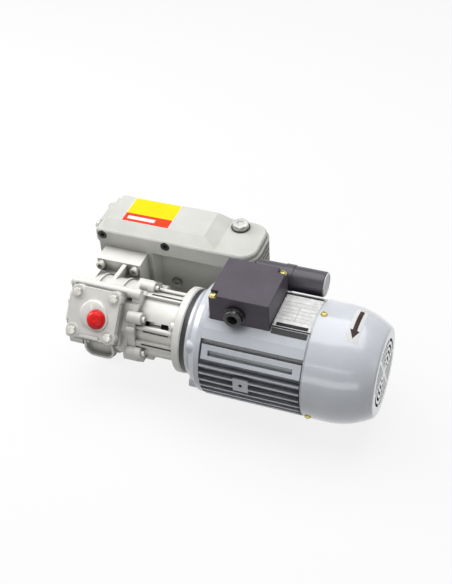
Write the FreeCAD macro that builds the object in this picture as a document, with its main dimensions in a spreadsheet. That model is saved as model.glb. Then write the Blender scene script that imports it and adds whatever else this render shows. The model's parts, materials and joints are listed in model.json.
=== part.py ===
import FreeCAD, Part
import Sketcher
import math
import os

# Rotary vane vacuum pump: a vane cylinder bolted to an oil separator box, driven through
# a lantern and a jaw coupling by a face-mounted single-phase motor.
# Sizes are millimetres. X runs along the shaft from the pump to the fan, Z is up.
# The origin is the middle of the four foot bolt holes, on the floor.
# Sub-parts are drawn about the shaft: x = 0 is the joint of lantern and motor,
# y = z = 0 is the shaft axis, and SEAT carries them from there to the origin.

os.makedirs("parts", exist_ok=True)
doc = FreeCAD.newDocument("rotary_vacuum_pump")
sheet = doc.addObject("Spreadsheet::Sheet", "Sizes")

NUMBERS = {
    # where the shaft lies above the floor and in front of the separator box
    "joint_x": 53, "shaft_height": 98, "shaft_to_box": 82, "clearance": 0.1, "running_gap": 0.05,
    # feet and rails
    "foot_span_x": 194, "foot_span_y": 136, "foot_radius": 12.5, "foot_thick": 6, "foot_hole": 4.25,
    "rail_wide": 26, "rail_thick": 8, "rail_over": 14, "rail_corner": 6,
    # lantern
    "lantern_length": 68, "lantern_radius": 44.5, "lantern_wall": 7, "flange_radius": 60,
    "flange_thick": 12, "window_low": 22.5, "window_high": 43.5, "window_long": 37, "window_right": 22,
    "tie_angle": 30.5, "tie_radius": 3.6, "tie_proud": 1, "rib_low": 86, "rib_high": 97, "rib_top": 49.5,
    "rib_root": 2, "groove_low": 90, "groove_high": 93.5, "groove_deep": 3.5, "lantern_foot": 8,
    "lug_circle": 52, "lug_radius": 8.5, "flange_edge": 2, "lug_start": 45, "lug_count": 6,
    "b14_circle": 50, "b14_start": 45, "b14_count": 4,
    # motor end shield on the drive side, with its joint ring
    "ring_thick": 4, "ring_radius": 57, "ring_bore": 40, "shield_length": 31, "shield_over_ring": 1.5,
    "shield_under_cover": 2, "shield_wall": 8, "shield_lip_room": 2, "shield_collar": 4, "shield_knee": 5,
    "shield_rim_long": 7, "shield_cavity": 12, "bearing_radius": 23.5, "bearing_wide": 14,
    "bearing_room": 1, "housing_wall": 5, "shaft_radius": 10, "nose_radius": 9.5, "ear_in": 9,
    "ear_angle": 28, "ear_radius": 8.5, "ear_long": 19, "ear_bolt": 3.2, "ear_bolt_deep": 4,
    # motor frame, all about the radius at the foot of its fins
    "frame_length": 139, "frame_root": 70, "frame_wall": 10, "fin_height": 9, "fin_thick": 2.6,
    "fin_first": 12.4, "fin_pitch": 8.9, "fin_count": 24, "fin_inset": 3, "fin_end_gap": 1, "fin_sunk": 1,
    "deck_over_root": 2, "deck_half": 34, "shoulder_angle": 50, "block_low": 40, "block_sunk": 2,
    "rail_low": 20, "rail_high": 35, "slot_low": 24, "slot_high": 29.5, "slot_end": 12, "slot_deep": 6,
    "pad_x": 94, "pad_side": 21, "pad_middle": -2, "pad_hole": 2.5, "pad_hole_deep": 8, "seat_room": 1,
    "seat_side": 5,
    # motor inside
    "core_start": 24.5, "air_gap": 0.4, "rotor_radius": 36, "winding_long": 13, "winding_room": 4,
    "winding_inner": 39,
    # rear shield, fan and fan cover
    "rear_shield_long": 12, "rear_wall": 5, "rear_lip": 6, "rear_slope": 2, "rear_step": 1,
    "cover_gap": 2.5, "cover_over_fins": 1, "cover_length": 89, "cover_wall": 2, "cover_straight": 28,
    "cover_bulge": 104, "cover_edge": 6, "cover_screw_in": 6.5, "cover_screw_count": 3,
    "cover_screw_start": 90, "grille_slot": 4, "grille_bar": 4, "grille_inner": 10, "grille_rings": 5,
    "grille_spoke": 4, "grille_spokes": 6, "fan_room": 14, "fan_wide": 24, "fan_hub": 16, "fan_gap": 9,
    "fan_blades": 7, "fan_blade_thick": 2.5, "fan_plate": 3, "fan_shaft": 8, "blade_end_gap": 1,
    # terminal box
    "box_x": 40, "box_long": 82, "box_half": 39.5, "box_under_deck": 4, "box_tall": 41, "box_wall": 3,
    "lid_tall": 9, "lid_edge": 1, "notch": 11, "box_edge": 2, "notch_deep": 5, "post_in": 1,
    "gland_x": 36.5, "gland_rise": 16.5, "gland_radius": 14, "gland_bore": 6.5, "gland_collar": 4,
    "gland_thread": 10.5, "gland_nut": 9, "gland_lip": 2, "gland_skin": 2, "gland_nut_step": 1,
    "terminal_wide": 44, "terminal_deep": 13, "terminal_tall": 14, "terminal_room": 2,
    # run capacitor behind the terminal box
    "capacitor_x": 70, "capacitor_long": 98, "capacitor_radius": 17.2, "capacitor_y": 59.5,
    "clamp_wide": 12, "clamp_thick": 1, "clamp_in": 10, "capacitor_edge": 4, "capacitor_lip": 1,
    # vane cylinder and its covers
    "cylinder_length": 79, "bore_radius": 38, "rotor_drop": 4.95, "rotor_body": 33, "body_radius": 51,
    "cover_half": 50, "cover_bevel": 22, "left_bevel": 27, "right_bevel": 17, "cover_under": 3,
    "end_flange": 9, "left_cover_thick": 11, "right_cover_thick": 12, "boss_circle": 50, "boss_low": 26,
    "boss_high": 71, "side_boss": 5.5, "belt_radius": 53.5, "belt_wide": 3, "belt_left": -142,
    "belt_right": -106, "tray_left": -148, "tray_right": -103, "tray_low": -41, "tray_high": -10,
    "tray_front": 50.5, "tray_back": 18, "tray_wall": 3.5, "tray_floor": 43, "tray_corner": 14,
    "journal_radius": 10, "bush_radius": 14, "bush_long": 8, "seal_radius": 17,
    "seal_long": 5, "cover_circle": 44.5, "cover_screws": 6, "cover_start": 55, "vane_thick": 5,
    "vane_offset": 10, "vane_count": 3, "slot_floor": 6, "vane_travel": 3, "vane_tip": 30.3,
    "bush_room": 1,
    # inlet flange, tilted to the front
    "inlet_angle": 38, "inlet_x": -124.5, "inlet_face": 55, "inlet_side": 75, "inlet_pad": 13,
    "inlet_neck": 62, "inlet_gasket": 1, "plate_thick": 11.5, "plate_bolt": 26.5, "port_x": 6.5,
    "port_drop": 5.5, "boss_radius": 21, "boss_tall": 2.5, "port_radius": 12.1, "port_entry": 13.4,
    "port_entry_deep": 5, "cap_radius": 13.3, "cap_proud": 8, "cap_skirt": 4, "cap_bevel": 4,
    "chamber_radius": 17, "chamber_deep": 15, "suction_radius": 7, "disc_thick": 2, "disc_notch": 4,
    "bar_radius": 7, "cap_wall": 2, "cap_roof": 3, "plate_rib": 3, "plate_rib_in": 5,
    "plate_rib_tall": 1.25, "plate_corner": 5, "plate_edge": 1,
    # feet of the cylinder on the separator box
    "mount_left": -168, "mount_right": -102, "mount_front": 53, "mount_half": 48, "mount_neck": 28,
    "mount_screw": 40, "mount_screw_in": 7, "web_x": -124.5, "web_thick": 6, "web_drop": 2,
    "exhaust_radius": 9,
    # coupling
    "hub_radius": 28, "hub_long": 18, "jaw_long": 10, "jaw_angle": 34, "jaw_count": 3, "hub_gap": 0.3,
    "jaw_in": 1, "pump_nose": 40, "spider_core": 12, "spider_arm": 25, "arm_sunk": 2,
    # separator box
    "box_left": -180, "box_right": 57, "box_back": 163, "box_top": 75.4, "band_low": 51, "wall_back": 13,
    "shell_wall": 6, "deck_rise": 7, "deck_in": 9, "deck_back": 2.5, "deck_right": -22, "deck_front": 21,
    "deck_foot": 4, "deck_slope": 22, "top_edge": 2, "end_round": 24, "band_round": 11,
    "pillar_left": -176, "pillar_right": -95, "pillar_low": -60, "gusset": 13, "partition_x": -28,
    "partition_hole": 16, "end_cover_thick": 6, "end_gasket": 1, "end_cover_in": 2, "end_cover_edge": 2,
    "end_screw_in": 12, "end_boss": 7.5, "end_boss_long": 20, "end_bevel": 10, "end_rib_proud": 3.5,
    "end_rib_thick": 4.2, "end_rib_pitch": 9, "end_rib_count": 16, "end_rib_top": 8, "filter_radius": 24,
    "filter_y": 129, "filter_z": 20, "filter_wall": 7, "clip_thick": 1.5, "clip_wide": 14,
    "clip_half": 20, "clip_bow": 9, "clip_flat": 3, "clip_hook": 4, "plug_x": 17, "plug_y": 146,
    "plug_thread": 10, "wall_plug_flats": 13, "wall_plug_tall": 3, "drain_flats": 17, "drain_tall": 6,
    "plug_flats": 21, "plug_tall": 8, "washer_radius": 13.5, "washer_thick": 1.8, "plug_deep": 12,
    "outlet_radius": 12.1, "outlet_boss": 19, "outlet_tall": 7, "outlet_y": 129, "outlet_z": 36,
    "sight_y": 129, "sight_z": -38, "sight_radius": 12, "sight_bore": 9, "sight_proud": 6,
    "sight_seat": 14, "drain_y": 129, "drain_z": -68, "drain_radius": 7, "drain_seat": 12,
    "wall_plug_x": -65, "wall_plug_z": -4, "wall_plug_radius": 5.5, "band_screw_x": -74,
    "band_screw_z": 67, "band_screw_left": -171, "band_screw_sunk": 6.5, "band_sink": 7,
    # how deep the screws and bolts go
    "lantern_screw_deep": 18, "flange_screw_deep": 22, "cover_screw_deep": 24, "mount_screw_deep": 38,
    "plate_bolt_deep": 22, "grille_screw_deep": 5, "box_cover_screw_deep": 20, "band_screw_deep": 12,
    "lid_screw_deep": 14,
}
for row, (word, number) in enumerate(NUMBERS.items(), 1):
    sheet.set(f"A{row}", word)
    sheet.set(f"B{row}", str(number))
    sheet.setAlias(f"B{row}", word)
doc.recompute()


class Size:
    """A named size or a sum of them: its number, and the expression that the sheet solves."""

    def __init__(self, text, number):
        self.text = text
        self.number = float(number)

    def _with(self, sign, other, number, turned=False):
        first, second = (text_of(other), self.text) if turned else (self.text, text_of(other))
        return Size(f"({first} {sign} {second})", number)

    def __add__(self, other):
        return self._with("+", other, self.number + number_of(other))

    def __radd__(self, other):
        return self._with("+", other, number_of(other) + self.number, True)

    def __sub__(self, other):
        return self._with("-", other, self.number - number_of(other))

    def __rsub__(self, other):
        return self._with("-", other, number_of(other) - self.number, True)

    def __mul__(self, other):
        return self._with("*", other, self.number * number_of(other))

    def __rmul__(self, other):
        return self._with("*", other, number_of(other) * self.number, True)

    def __truediv__(self, other):
        return self._with("/", other, self.number / number_of(other))

    def __rtruediv__(self, other):
        return self._with("/", other, number_of(other) / self.number, True)

    def __neg__(self):
        return Size(f"(0 - {self.text})", -self.number)


def number_of(size):
    return size.number if isinstance(size, Size) else float(size)


def text_of(size):
    return size.text if isinstance(size, Size) else repr(float(size))


def cosine(angle):
    return Size(f"cos({text_of(angle)})", math.cos(math.radians(number_of(angle))))


def sine(angle):
    return Size(f"sin({text_of(angle)})", math.sin(math.radians(number_of(angle))))


class Sizes:
    """Reads a named size of the sheet, as s.frame_length."""

    def __getattr__(self, word):
        return Size(f"Sizes.{word}", sheet.get(word))


s = Sizes()
HALF = 0.5
FULL_TURN = 360
STRAIGHT = 180
QUARTERS = 4
CLOSE = 0.01
ROOT_TWO = 2 ** 0.5
SEAT = (s.joint_x, -s.shaft_to_box, s.shaft_height)
parts = []


def bind(thing, setting, size):
    thing.setExpression(setting, text_of(size))


def vector(x, y, z):
    return FreeCAD.Vector(number_of(x), number_of(y), number_of(z))


def seat(thing, tilt=0):
    """Carries a sub-part from the shaft to its place over the feet, tilted about the shaft."""
    turn = FreeCAD.Rotation(FreeCAD.Vector(1, 0, 0), number_of(tilt))
    thing.Placement = FreeCAD.Placement(vector(*SEAT), turn)
    for axis, size in zip("xyz", SEAT):
        bind(thing, f"Placement.Base.{axis}", size)
    if isinstance(tilt, Size):
        bind(thing, "Placement.Rotation.Angle", tilt)
    parts.append(thing)
    return thing


def new_body(label):
    body = doc.addObject("PartDesign::Body", label)
    body.Label = label
    return body


def origin_of(body, role):
    return next(f for f in body.Origin.OriginFeatures if f.Role == role)


def new_sketch(body, plane, away=0):
    """An empty sketch on a plane of the body, moved along the plane's normal."""
    sketch = body.newObject("Sketcher::SketchObject", "Sketch")
    sketch.AttachmentSupport = [(origin_of(body, plane), "")]
    sketch.MapMode = "FlatFace"
    sketch.AttachmentOffset = FreeCAD.Placement(vector(0, 0, away), FreeCAD.Rotation())
    bind(sketch, "AttachmentOffset.Base.z", away)
    return sketch


def inlet_sketch(body, out):
    """An empty sketch across the inlet's axis, out from the shaft; it reads (x, up the pad)."""
    sketch = new_sketch(body, "XZ_Plane")
    turn = FreeCAD.Rotation(FreeCAD.Vector(1, 0, 0), -number_of(s.inlet_angle))
    base = (0, out * sine(s.inlet_angle), out * cosine(s.inlet_angle))
    sketch.AttachmentOffset = FreeCAD.Placement(vector(*base), turn)
    bind(sketch, "AttachmentOffset.Base.y", base[1])
    bind(sketch, "AttachmentOffset.Base.z", base[2])
    bind(sketch, "AttachmentOffset.Rotation.Angle", -s.inlet_angle)
    return sketch


def hold(sketch, kind, size, *places):
    number = sketch.addConstraint(Sketcher.Constraint(kind, *places, number_of(size)))
    if isinstance(size, Size):
        sketch.setExpression(f"Constraints[{number}]", size.text)


def outline(sketch, points):
    """A closed outline of straight lines, each corner held to its two sizes."""
    first = sketch.GeometryCount
    count = len(points)
    corners = [vector(u, v, 0) for u, v in points]
    for k in range(count):
        sketch.addGeometry(Part.LineSegment(corners[k], corners[(k + 1) % count]))
    for k in range(count):
        sketch.addConstraint(Sketcher.Constraint("Coincident", first + k, 2, first + (k + 1) % count, 1))
    for k, point in enumerate(points):
        hold(sketch, "DistanceX", point[0], -1, 1, first + k, 1)
        hold(sketch, "DistanceY", point[1], -1, 1, first + k, 1)
    return sketch


def toward(first, second):
    """The step along u and v from one corner to the next of a square-cornered outline."""
    return [(number_of(b) > number_of(a)) - (number_of(b) < number_of(a)) for a, b in zip(first, second)]


def rounded(sketch, points, radii):
    """A closed outline with square corners, run anticlockwise, rounded where a corner has a radius."""
    count = len(points)
    ends = []
    for k, (point, radius) in enumerate(zip(points, radii)):
        before = toward(point, points[k - 1])
        after = toward(point, points[(k + 1) % count])
        start = [a + step * radius for a, step in zip(point, before)]
        end = [a + step * radius for a, step in zip(point, after)]
        centre = [a + step * radius for a, step in zip(start, after)]
        ends.append((start, end, centre))
    lines = []
    for k in range(count):
        start, end = ends[k][1], ends[(k + 1) % count][0]
        lines.append(sketch.addGeometry(Part.LineSegment(vector(*start, 0), vector(*end, 0))))
        sharp = number_of(radii[(k + 1) % count]) == 0
        for place, position in ((start, 1),) if sharp else ((start, 1), (end, 2)):
            hold(sketch, "DistanceX", place[0], -1, 1, lines[k], position)
            hold(sketch, "DistanceY", place[1], -1, 1, lines[k], position)
    for k, (start, end, centre) in enumerate(ends):
        if number_of(radii[k]) == 0:
            sketch.addConstraint(Sketcher.Constraint("Coincident", lines[k - 1], 2, lines[k], 1))
            continue
        turns = [math.atan2(*(number_of(a) - number_of(b) for a, b in zip(place[::-1], centre[::-1])))
                 for place in (start, end)]
        ring = Part.Circle(vector(*centre, 0), UP, number_of(radii[k]))
        arc = sketch.addGeometry(Part.ArcOfCircle(ring, *turns))
        sketch.addConstraint(Sketcher.Constraint("Coincident", lines[k - 1], 2, arc, 1))
        sketch.addConstraint(Sketcher.Constraint("Coincident", arc, 2, lines[k], 1))
        hold(sketch, "DistanceX", centre[0], -1, 1, arc, 3)
    return sketch


def circle(sketch, radius, u=0, v=0):
    edge = sketch.addGeometry(Part.Circle(vector(u, v, 0), FreeCAD.Vector(0, 0, 1), number_of(radius)))
    hold(sketch, "DistanceX", u, -1, 1, edge, 3)
    hold(sketch, "DistanceY", v, -1, 1, edge, 3)
    hold(sketch, "Radius", radius, edge)
    return sketch


def rectangle(left, right, low, high):
    return [(left, low), (right, low), (right, high), (left, high)]


def around(radius, angle):
    """A point (y, z) round the shaft; angles rise from the front, over the top."""
    return (-radius * cosine(angle), radius * sine(angle))


def sector(low, high, inner, outer):
    return [around(inner, low), around(outer, low), around(outer, high), around(inner, high)]


def feature(body, kind, sketch, length=None, back=False, both=False):
    """A pad, pocket, revolution or groove; a pocket with no length goes right through."""
    made = body.newObject(f"PartDesign::{kind}", kind)
    made.Profile = sketch
    if kind in ("Revolution", "Groove"):
        made.ReferenceAxis = (origin_of(body, "X_Axis"), [""])
        made.Angle = FULL_TURN
    elif length is None:
        made.Type = 1
    else:
        made.Length = number_of(length)
        bind(made, "Length", length)
    made.Midplane = both
    made.Reversed = back
    sketch.Visibility = False
    return made


def revolve(body, points, kind="Revolution"):
    """Turns an outline of (x, radius) corners about the shaft."""
    return feature(body, kind, outline(new_sketch(body, "XY_Plane"), points))


def pad(body, sketch, length, back=False, both=False):
    return feature(body, "Pad", sketch, length, back, both)


def pocket(body, sketch, length=None, back=False, both=False):
    return feature(body, "Pocket", sketch, length, back, both)


def pad_along(body, left, right, points):
    """Pads a section across the shaft, of (y, z) corners, from left to right."""
    return pad(body, outline(new_sketch(body, "YZ_Plane", left), points), right - left)


def cut_along(body, left, right, points):
    """Cuts a section across the shaft, of (y, z) corners, from left to right."""
    return pocket(body, outline(new_sketch(body, "YZ_Plane", right), points), right - left)


def polar(body, made, count, angle=FULL_TURN):
    pattern = body.newObject("PartDesign::PolarPattern", "PolarPattern")
    pattern.Originals = [made]
    pattern.Axis = (origin_of(body, "X_Axis"), [""])
    pattern.Angle = number_of(angle)
    pattern.Occurrences = int(round(number_of(count)))
    bind(pattern, "Angle", angle)
    bind(pattern, "Occurrences", count)
    body.Tip = pattern
    return pattern


def blend(body, size, chosen, kind="Fillet"):
    """Rounds or bevels the edges of the body so far that the test picks."""
    doc.recompute()
    base = body.Tip
    names = [f"Edge{k}" for k, edge in enumerate(base.Shape.Edges, 1) if chosen(edge)]
    if not names:
        raise RuntimeError(f"no edge to round on {body.Label}")
    made = body.newObject(f"PartDesign::{kind}", kind)
    made.Base = (base, names)
    setting = "Radius" if kind == "Fillet" else "Size"
    setattr(made, setting, number_of(size))
    bind(made, setting, size)
    return made


def runs(edge, axis):
    """Whether an edge is straight and lies along an axis, given as 0, 1 or 2."""
    straight = edge.Curve.TypeId == "Part::GeomLine"
    return straight and abs(abs(edge.Curve.Direction[axis]) - 1) < 1e-6


def at(edge, axis, size, room=CLOSE):
    """Whether the middle of an edge or face lies at a size along an axis."""
    return abs(edge.CenterOfMass[axis] - number_of(size)) < room


def is_ring(edge, radius, room=CLOSE):
    return edge.Curve.TypeId == "Part::GeomCircle" and abs(edge.Curve.Radius - number_of(radius)) < room


def loose_shape(label, shape):
    """An object for several like solids, or for a form that a sketch doesn't draw."""
    made = doc.addObject("Part::Feature", label)
    made.Label = label
    made.Shape = shape
    return made


def rod(start, direction, radius, length):
    return Part.makeCylinder(number_of(radius), number_of(length), start, direction)


def hexagon(start, direction, flats, tall):
    """A hexagonal prism by its width across flats."""
    corner = flats * HALF / math.cos(math.radians(30))
    ring = []
    for k in range(7):
        angle = math.radians(60 * k)
        ring.append(FreeCAD.Vector(corner * math.cos(angle), corner * math.sin(angle), 0))
    prism = Part.Face(Part.makePolygon(ring)).extrude(FreeCAD.Vector(0, 0, tall))
    prism.Placement = FreeCAD.Placement(start, FreeCAD.Rotation(FreeCAD.Vector(0, 0, 1), direction))
    return prism


class Screws:
    """A group of like screws: where the heads sit, which way they point and how big they are."""

    # thread: diameter, head width, head height
    KINDS = {"M5": (5, 8.5, 5), "M6": (6, 10, 6), "M8": (8, 13, 8), "M4": (4, 7, 2.6), "M3": (3, 5.6, 2.2)}
    HEX = {"M5": (5, 8, 3.5), "M6": (6, 10, 4), "M8": (8, 13, 5.3)}

    def __init__(self, label, places, out, thread, deep, hexed=False, tilt=0):
        self.label, self.places, self.out = label, places, out
        self.deep, self.hexed, self.tilt = number_of(deep), hexed, tilt
        self.shank, self.head, self.tall = (self.HEX if hexed else self.KINDS)[thread]
        self.radius = self.shank * HALF

    def ways(self):
        """Each place with the way its head points."""
        return [(p, self.out(p) if callable(self.out) else self.out) for p in self.places]

    def build(self):
        """The screws themselves, seated."""
        shapes = []
        for place, out in self.ways():
            if self.hexed:
                top = hexagon(place, out, self.head, self.tall)
            else:
                top = rod(place, out, self.head * HALF, self.tall)
                socket = hexagon(place + out * (self.tall * HALF), out, self.head * HALF, self.tall)
                top = top.cut(socket)
            shank = rod(place - out * self.deep, out, self.radius, self.deep)
            shapes.append(top.fuse(shank).removeSplitter())
        return seat(loose_shape(self.label, Part.makeCompound(shapes)), self.tilt)

    def holes(self):
        """Cylinders that clear the shanks, to be cut from the pieces that they pass through."""
        room = number_of(s.clearance)
        shapes = [rod(p - out * (self.deep + room), out, self.radius + room, self.deep + 2 * room)
                  for p, out in self.ways()]
        made = loose_shape(self.label + "_holes", Part.makeCompound(shapes))
        made.Placement = FreeCAD.Placement(vector(0, 0, 0),
                                           FreeCAD.Rotation(FreeCAD.Vector(1, 0, 0), number_of(self.tilt)))
        return made


def drilled(body, *tools):
    """The body less the holes of its screws and the tools cut from it, under the body's label."""
    label = body.Label
    body.Label = label + "_blank"
    bundle = doc.addObject("Part::Compound", label + "_tools")
    bundle.Links = [tool.holes() if isinstance(tool, Screws) else tool for tool in tools]
    made = doc.addObject("Part::Cut", label)
    made.Base = body
    made.Tool = bundle
    made.Label = label
    return made


def ring_places(x, radius, start, count, level=0):
    """Places spaced evenly round the shaft at station x, the first at angle start, raised to a level."""
    places = []
    for k in range(int(number_of(count))):
        y, z = around(radius, start + FULL_TURN / count * k)
        places.append(vector(x, y, z + level))
    return places


def radially(place):
    """Outward from the shaft at a place."""
    return FreeCAD.Vector(0, place.y, place.z).normalize()


RIGHT = FreeCAD.Vector(1, 0, 0)
LEFT = FreeCAD.Vector(-1, 0, 0)
UP = FreeCAD.Vector(0, 0, 1)
FRONT = FreeCAD.Vector(0, -1, 0)

# Stations along the shaft, from the pump to the fan
right_cover_x = -s.lantern_length
cylinder_right = right_cover_x - s.right_cover_thick
cylinder_left = cylinder_right - s.cylinder_length
left_cover_x = cylinder_left - s.left_cover_thick
frame_front = s.ring_thick + s.shield_length
frame_back = frame_front + s.frame_length
fin_tip = s.frame_root + s.fin_height
frame_bore = s.frame_root - s.frame_wall
cover_radius = fin_tip + s.cover_over_fins
shield_rim = cover_radius - s.shield_under_cover
deck_height = s.frame_root + s.deck_over_root
box_base = deck_height - s.box_under_deck
gland_z = box_base + s.gland_rise
rear_back = frame_back + s.rear_shield_long
cover_rim = frame_back + s.cover_gap
cover_back = cover_rim + s.cover_length
bearing_front = s.ring_thick + s.shield_wall
bearing_rear = rear_back - s.rear_wall - s.bearing_wide
core_left = frame_front + s.core_start
core_right = frame_back - s.core_start

# Levels and faces of the separator box; its front band stands where the pump's feet bolt on
floor_z = -s.shaft_height
rail_low = floor_z + s.foot_thick
box_low = rail_low + s.rail_thick
band_front = s.shaft_to_box
wall_front = band_front + s.wall_back
deck_top = s.box_top + s.deck_rise
tilt = 90 - s.inlet_angle

inlet_top = s.inlet_face + s.inlet_gasket + s.plate_thick


# Screws come first, because the pieces that they pass through are cut by them

def mount_places():
    """Two screws at each end of the cylinder's feet, on their front face."""
    columns = (s.mount_left + s.mount_screw_in, s.mount_right - s.mount_screw_in)
    return [vector(x, s.mount_front, z) for x in columns for z in (s.mount_screw, -s.mount_screw)]


def plate_places():
    """The four corners of the inlet flange."""
    signs = (-1, 1)
    return [vector(s.inlet_x + a * s.plate_bolt, b * s.plate_bolt, inlet_top) for a in signs for b in signs]


def end_cover_places():
    """Round the edge of the box's end cover: its corners and the middles of its long sides."""
    back = s.box_back - s.end_screw_in
    front = wall_front + s.end_screw_in
    low = box_low + s.end_screw_in
    high = s.box_top - s.end_screw_in
    levels = (low, (low + high) * HALF, high)
    face = s.box_left - s.end_gasket - s.end_cover_thick
    return [vector(face, y, z) for y in (front, back) for z in levels]


def band_places():
    """The two socket screws in the band along the front of the box."""
    level = band_front + s.band_screw_sunk
    return [vector(x, level, s.band_screw_z) for x in (s.band_screw_left, s.band_screw_x)]


def lid_places():
    """Opposite corners of the terminal box's lid, in the notches."""
    inset = s.notch * HALF
    level = box_base + s.box_tall - s.notch_deep
    return [vector(s.box_x + inset, -s.box_half + inset, level),
            vector(s.box_x + s.box_long - inset, s.box_half - inset, level)]


lantern_screws = Screws(
    "lantern_screws", ring_places(right_cover_x + s.lantern_foot, s.lug_circle, s.lug_start, s.lug_count),
    RIGHT, "M5", s.lantern_screw_deep)
flange_screws = Screws(
    "motor_flange_screws", ring_places(-s.flange_thick, s.b14_circle, s.b14_start, s.b14_count),
    LEFT, "M6", s.flange_screw_deep)
cover_screws = Screws(
    "end_cover_screws",
    ring_places(left_cover_x, s.cover_circle, s.cover_start, s.cover_screws, -s.rotor_drop),
    LEFT, "M6", s.cover_screw_deep, hexed=True)
mount_screws = Screws("cylinder_screws", mount_places(), FRONT, "M8", s.mount_screw_deep)
plate_bolts = Screws("inlet_flange_bolts", plate_places(), UP, "M6", s.plate_bolt_deep, hexed=True, tilt=tilt)
grille_screws = Screws(
    "fan_cover_screws",
    ring_places(cover_rim + s.cover_screw_in, cover_radius, s.cover_screw_start, s.cover_screw_count),
    radially, "M4", s.grille_screw_deep)
box_cover_screws = Screws(
    "exhaust_cover_screws", end_cover_places(), LEFT, "M6", s.box_cover_screw_deep, hexed=True)
band_screws = Screws("band_screws", band_places(), FRONT, "M8", s.band_screw_deep)
lid_screws = Screws("lid_screws", lid_places(), UP, "M4", s.lid_screw_deep)


def build_lantern():
    """The tube between pump and motor, with windows onto the coupling and tie bars across them."""
    body = new_body("lantern")
    flange = -s.flange_thick
    inner = s.lantern_radius - s.lantern_wall
    revolve(body, [(right_cover_x, inner), (right_cover_x, s.lantern_radius), (flange, s.lantern_radius),
                   (flange, s.flange_radius), (0, s.flange_radius), (0, inner)])
    window = cut_along(body, -s.window_right - s.window_long, -s.window_right,
                       sector(s.window_low, s.window_high, inner - s.lantern_wall, s.flange_radius))
    polar(body, window, QUARTERS)
    tie_place = around(s.lantern_radius + s.tie_proud, s.tie_angle)
    tie = circle(new_sketch(body, "YZ_Plane", right_cover_x), s.tie_radius, *tie_place)
    polar(body, pad(body, tie, s.lantern_length - s.flange_thick), QUARTERS)
    rib = pad_along(body, right_cover_x, flange, sector(s.rib_low, s.rib_high, inner + s.rib_root, s.rib_top))
    polar(body, rib, QUARTERS)
    groove = cut_along(body, right_cover_x + s.lantern_foot, flange,
                       sector(s.groove_low, s.groove_high, s.rib_top - s.groove_deep, s.flange_radius))
    polar(body, groove, QUARTERS)
    lug = circle(new_sketch(body, "YZ_Plane", right_cover_x), s.lug_radius, *around(s.lug_circle, s.lug_start))
    polar(body, pad(body, lug, s.lantern_foot), s.lug_count)
    blend(body, s.flange_edge, lambda edge: is_ring(edge, s.flange_radius), "Chamfer")
    return seat(drilled(body, lantern_screws, flange_screws))


def build_flange_ring():
    """The dark joint ring between lantern and motor."""
    body = new_body("flange_ring")
    thick = s.ring_thick
    revolve(body, [(0, s.ring_bore), (0, s.ring_radius), (thick, s.ring_radius), (thick, s.ring_bore)])
    return seat(drilled(body, flange_screws))


def build_drive_shield():
    """The bell-shaped end shield that carries the motor's front bearing, with ears for its tie bolts."""
    body = new_body("motor_drive_shield")
    face, back = s.ring_thick, frame_front
    rim_start = back - s.shield_rim_long
    collar = face + s.shield_wall
    bore = s.shaft_radius + s.bearing_room
    housing = s.bearing_radius + s.housing_wall
    bearing_back = bearing_front + s.bearing_wide
    lip = frame_bore + s.shield_lip_room
    front_radius = s.ring_radius + s.shield_over_ring
    cavity = collar + s.shield_collar
    revolve(body, [(face, bore), (face, front_radius), (collar, front_radius + s.shield_collar),
                   (face + s.shield_length * HALF, shield_rim - s.shield_knee), (rim_start, shield_rim),
                   (back, shield_rim), (back, lip), (rim_start, lip),
                   (cavity, lip - s.shield_cavity), (cavity, housing), (bearing_back, housing),
                   (bearing_back, s.bearing_radius), (bearing_front, s.bearing_radius), (bearing_front, bore)])
    angles = (s.ear_angle, STRAIGHT - s.ear_angle, STRAIGHT + s.ear_angle, -s.ear_angle)
    for angle in angles:
        place = around(shield_rim - s.ear_in, angle)
        ear = circle(new_sketch(body, "YZ_Plane", back - s.ear_long), s.ear_radius, *place)
        pad(body, ear, s.ear_long)
    for angle in angles:
        place = around(shield_rim - s.ear_in, angle)
        floor = new_sketch(body, "YZ_Plane", back - s.ear_long)
        pocket(body, circle(floor, s.ear_bolt, *place), s.ear_bolt_deep, back=True)
    return seat(drilled(body, flange_screws))


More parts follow.
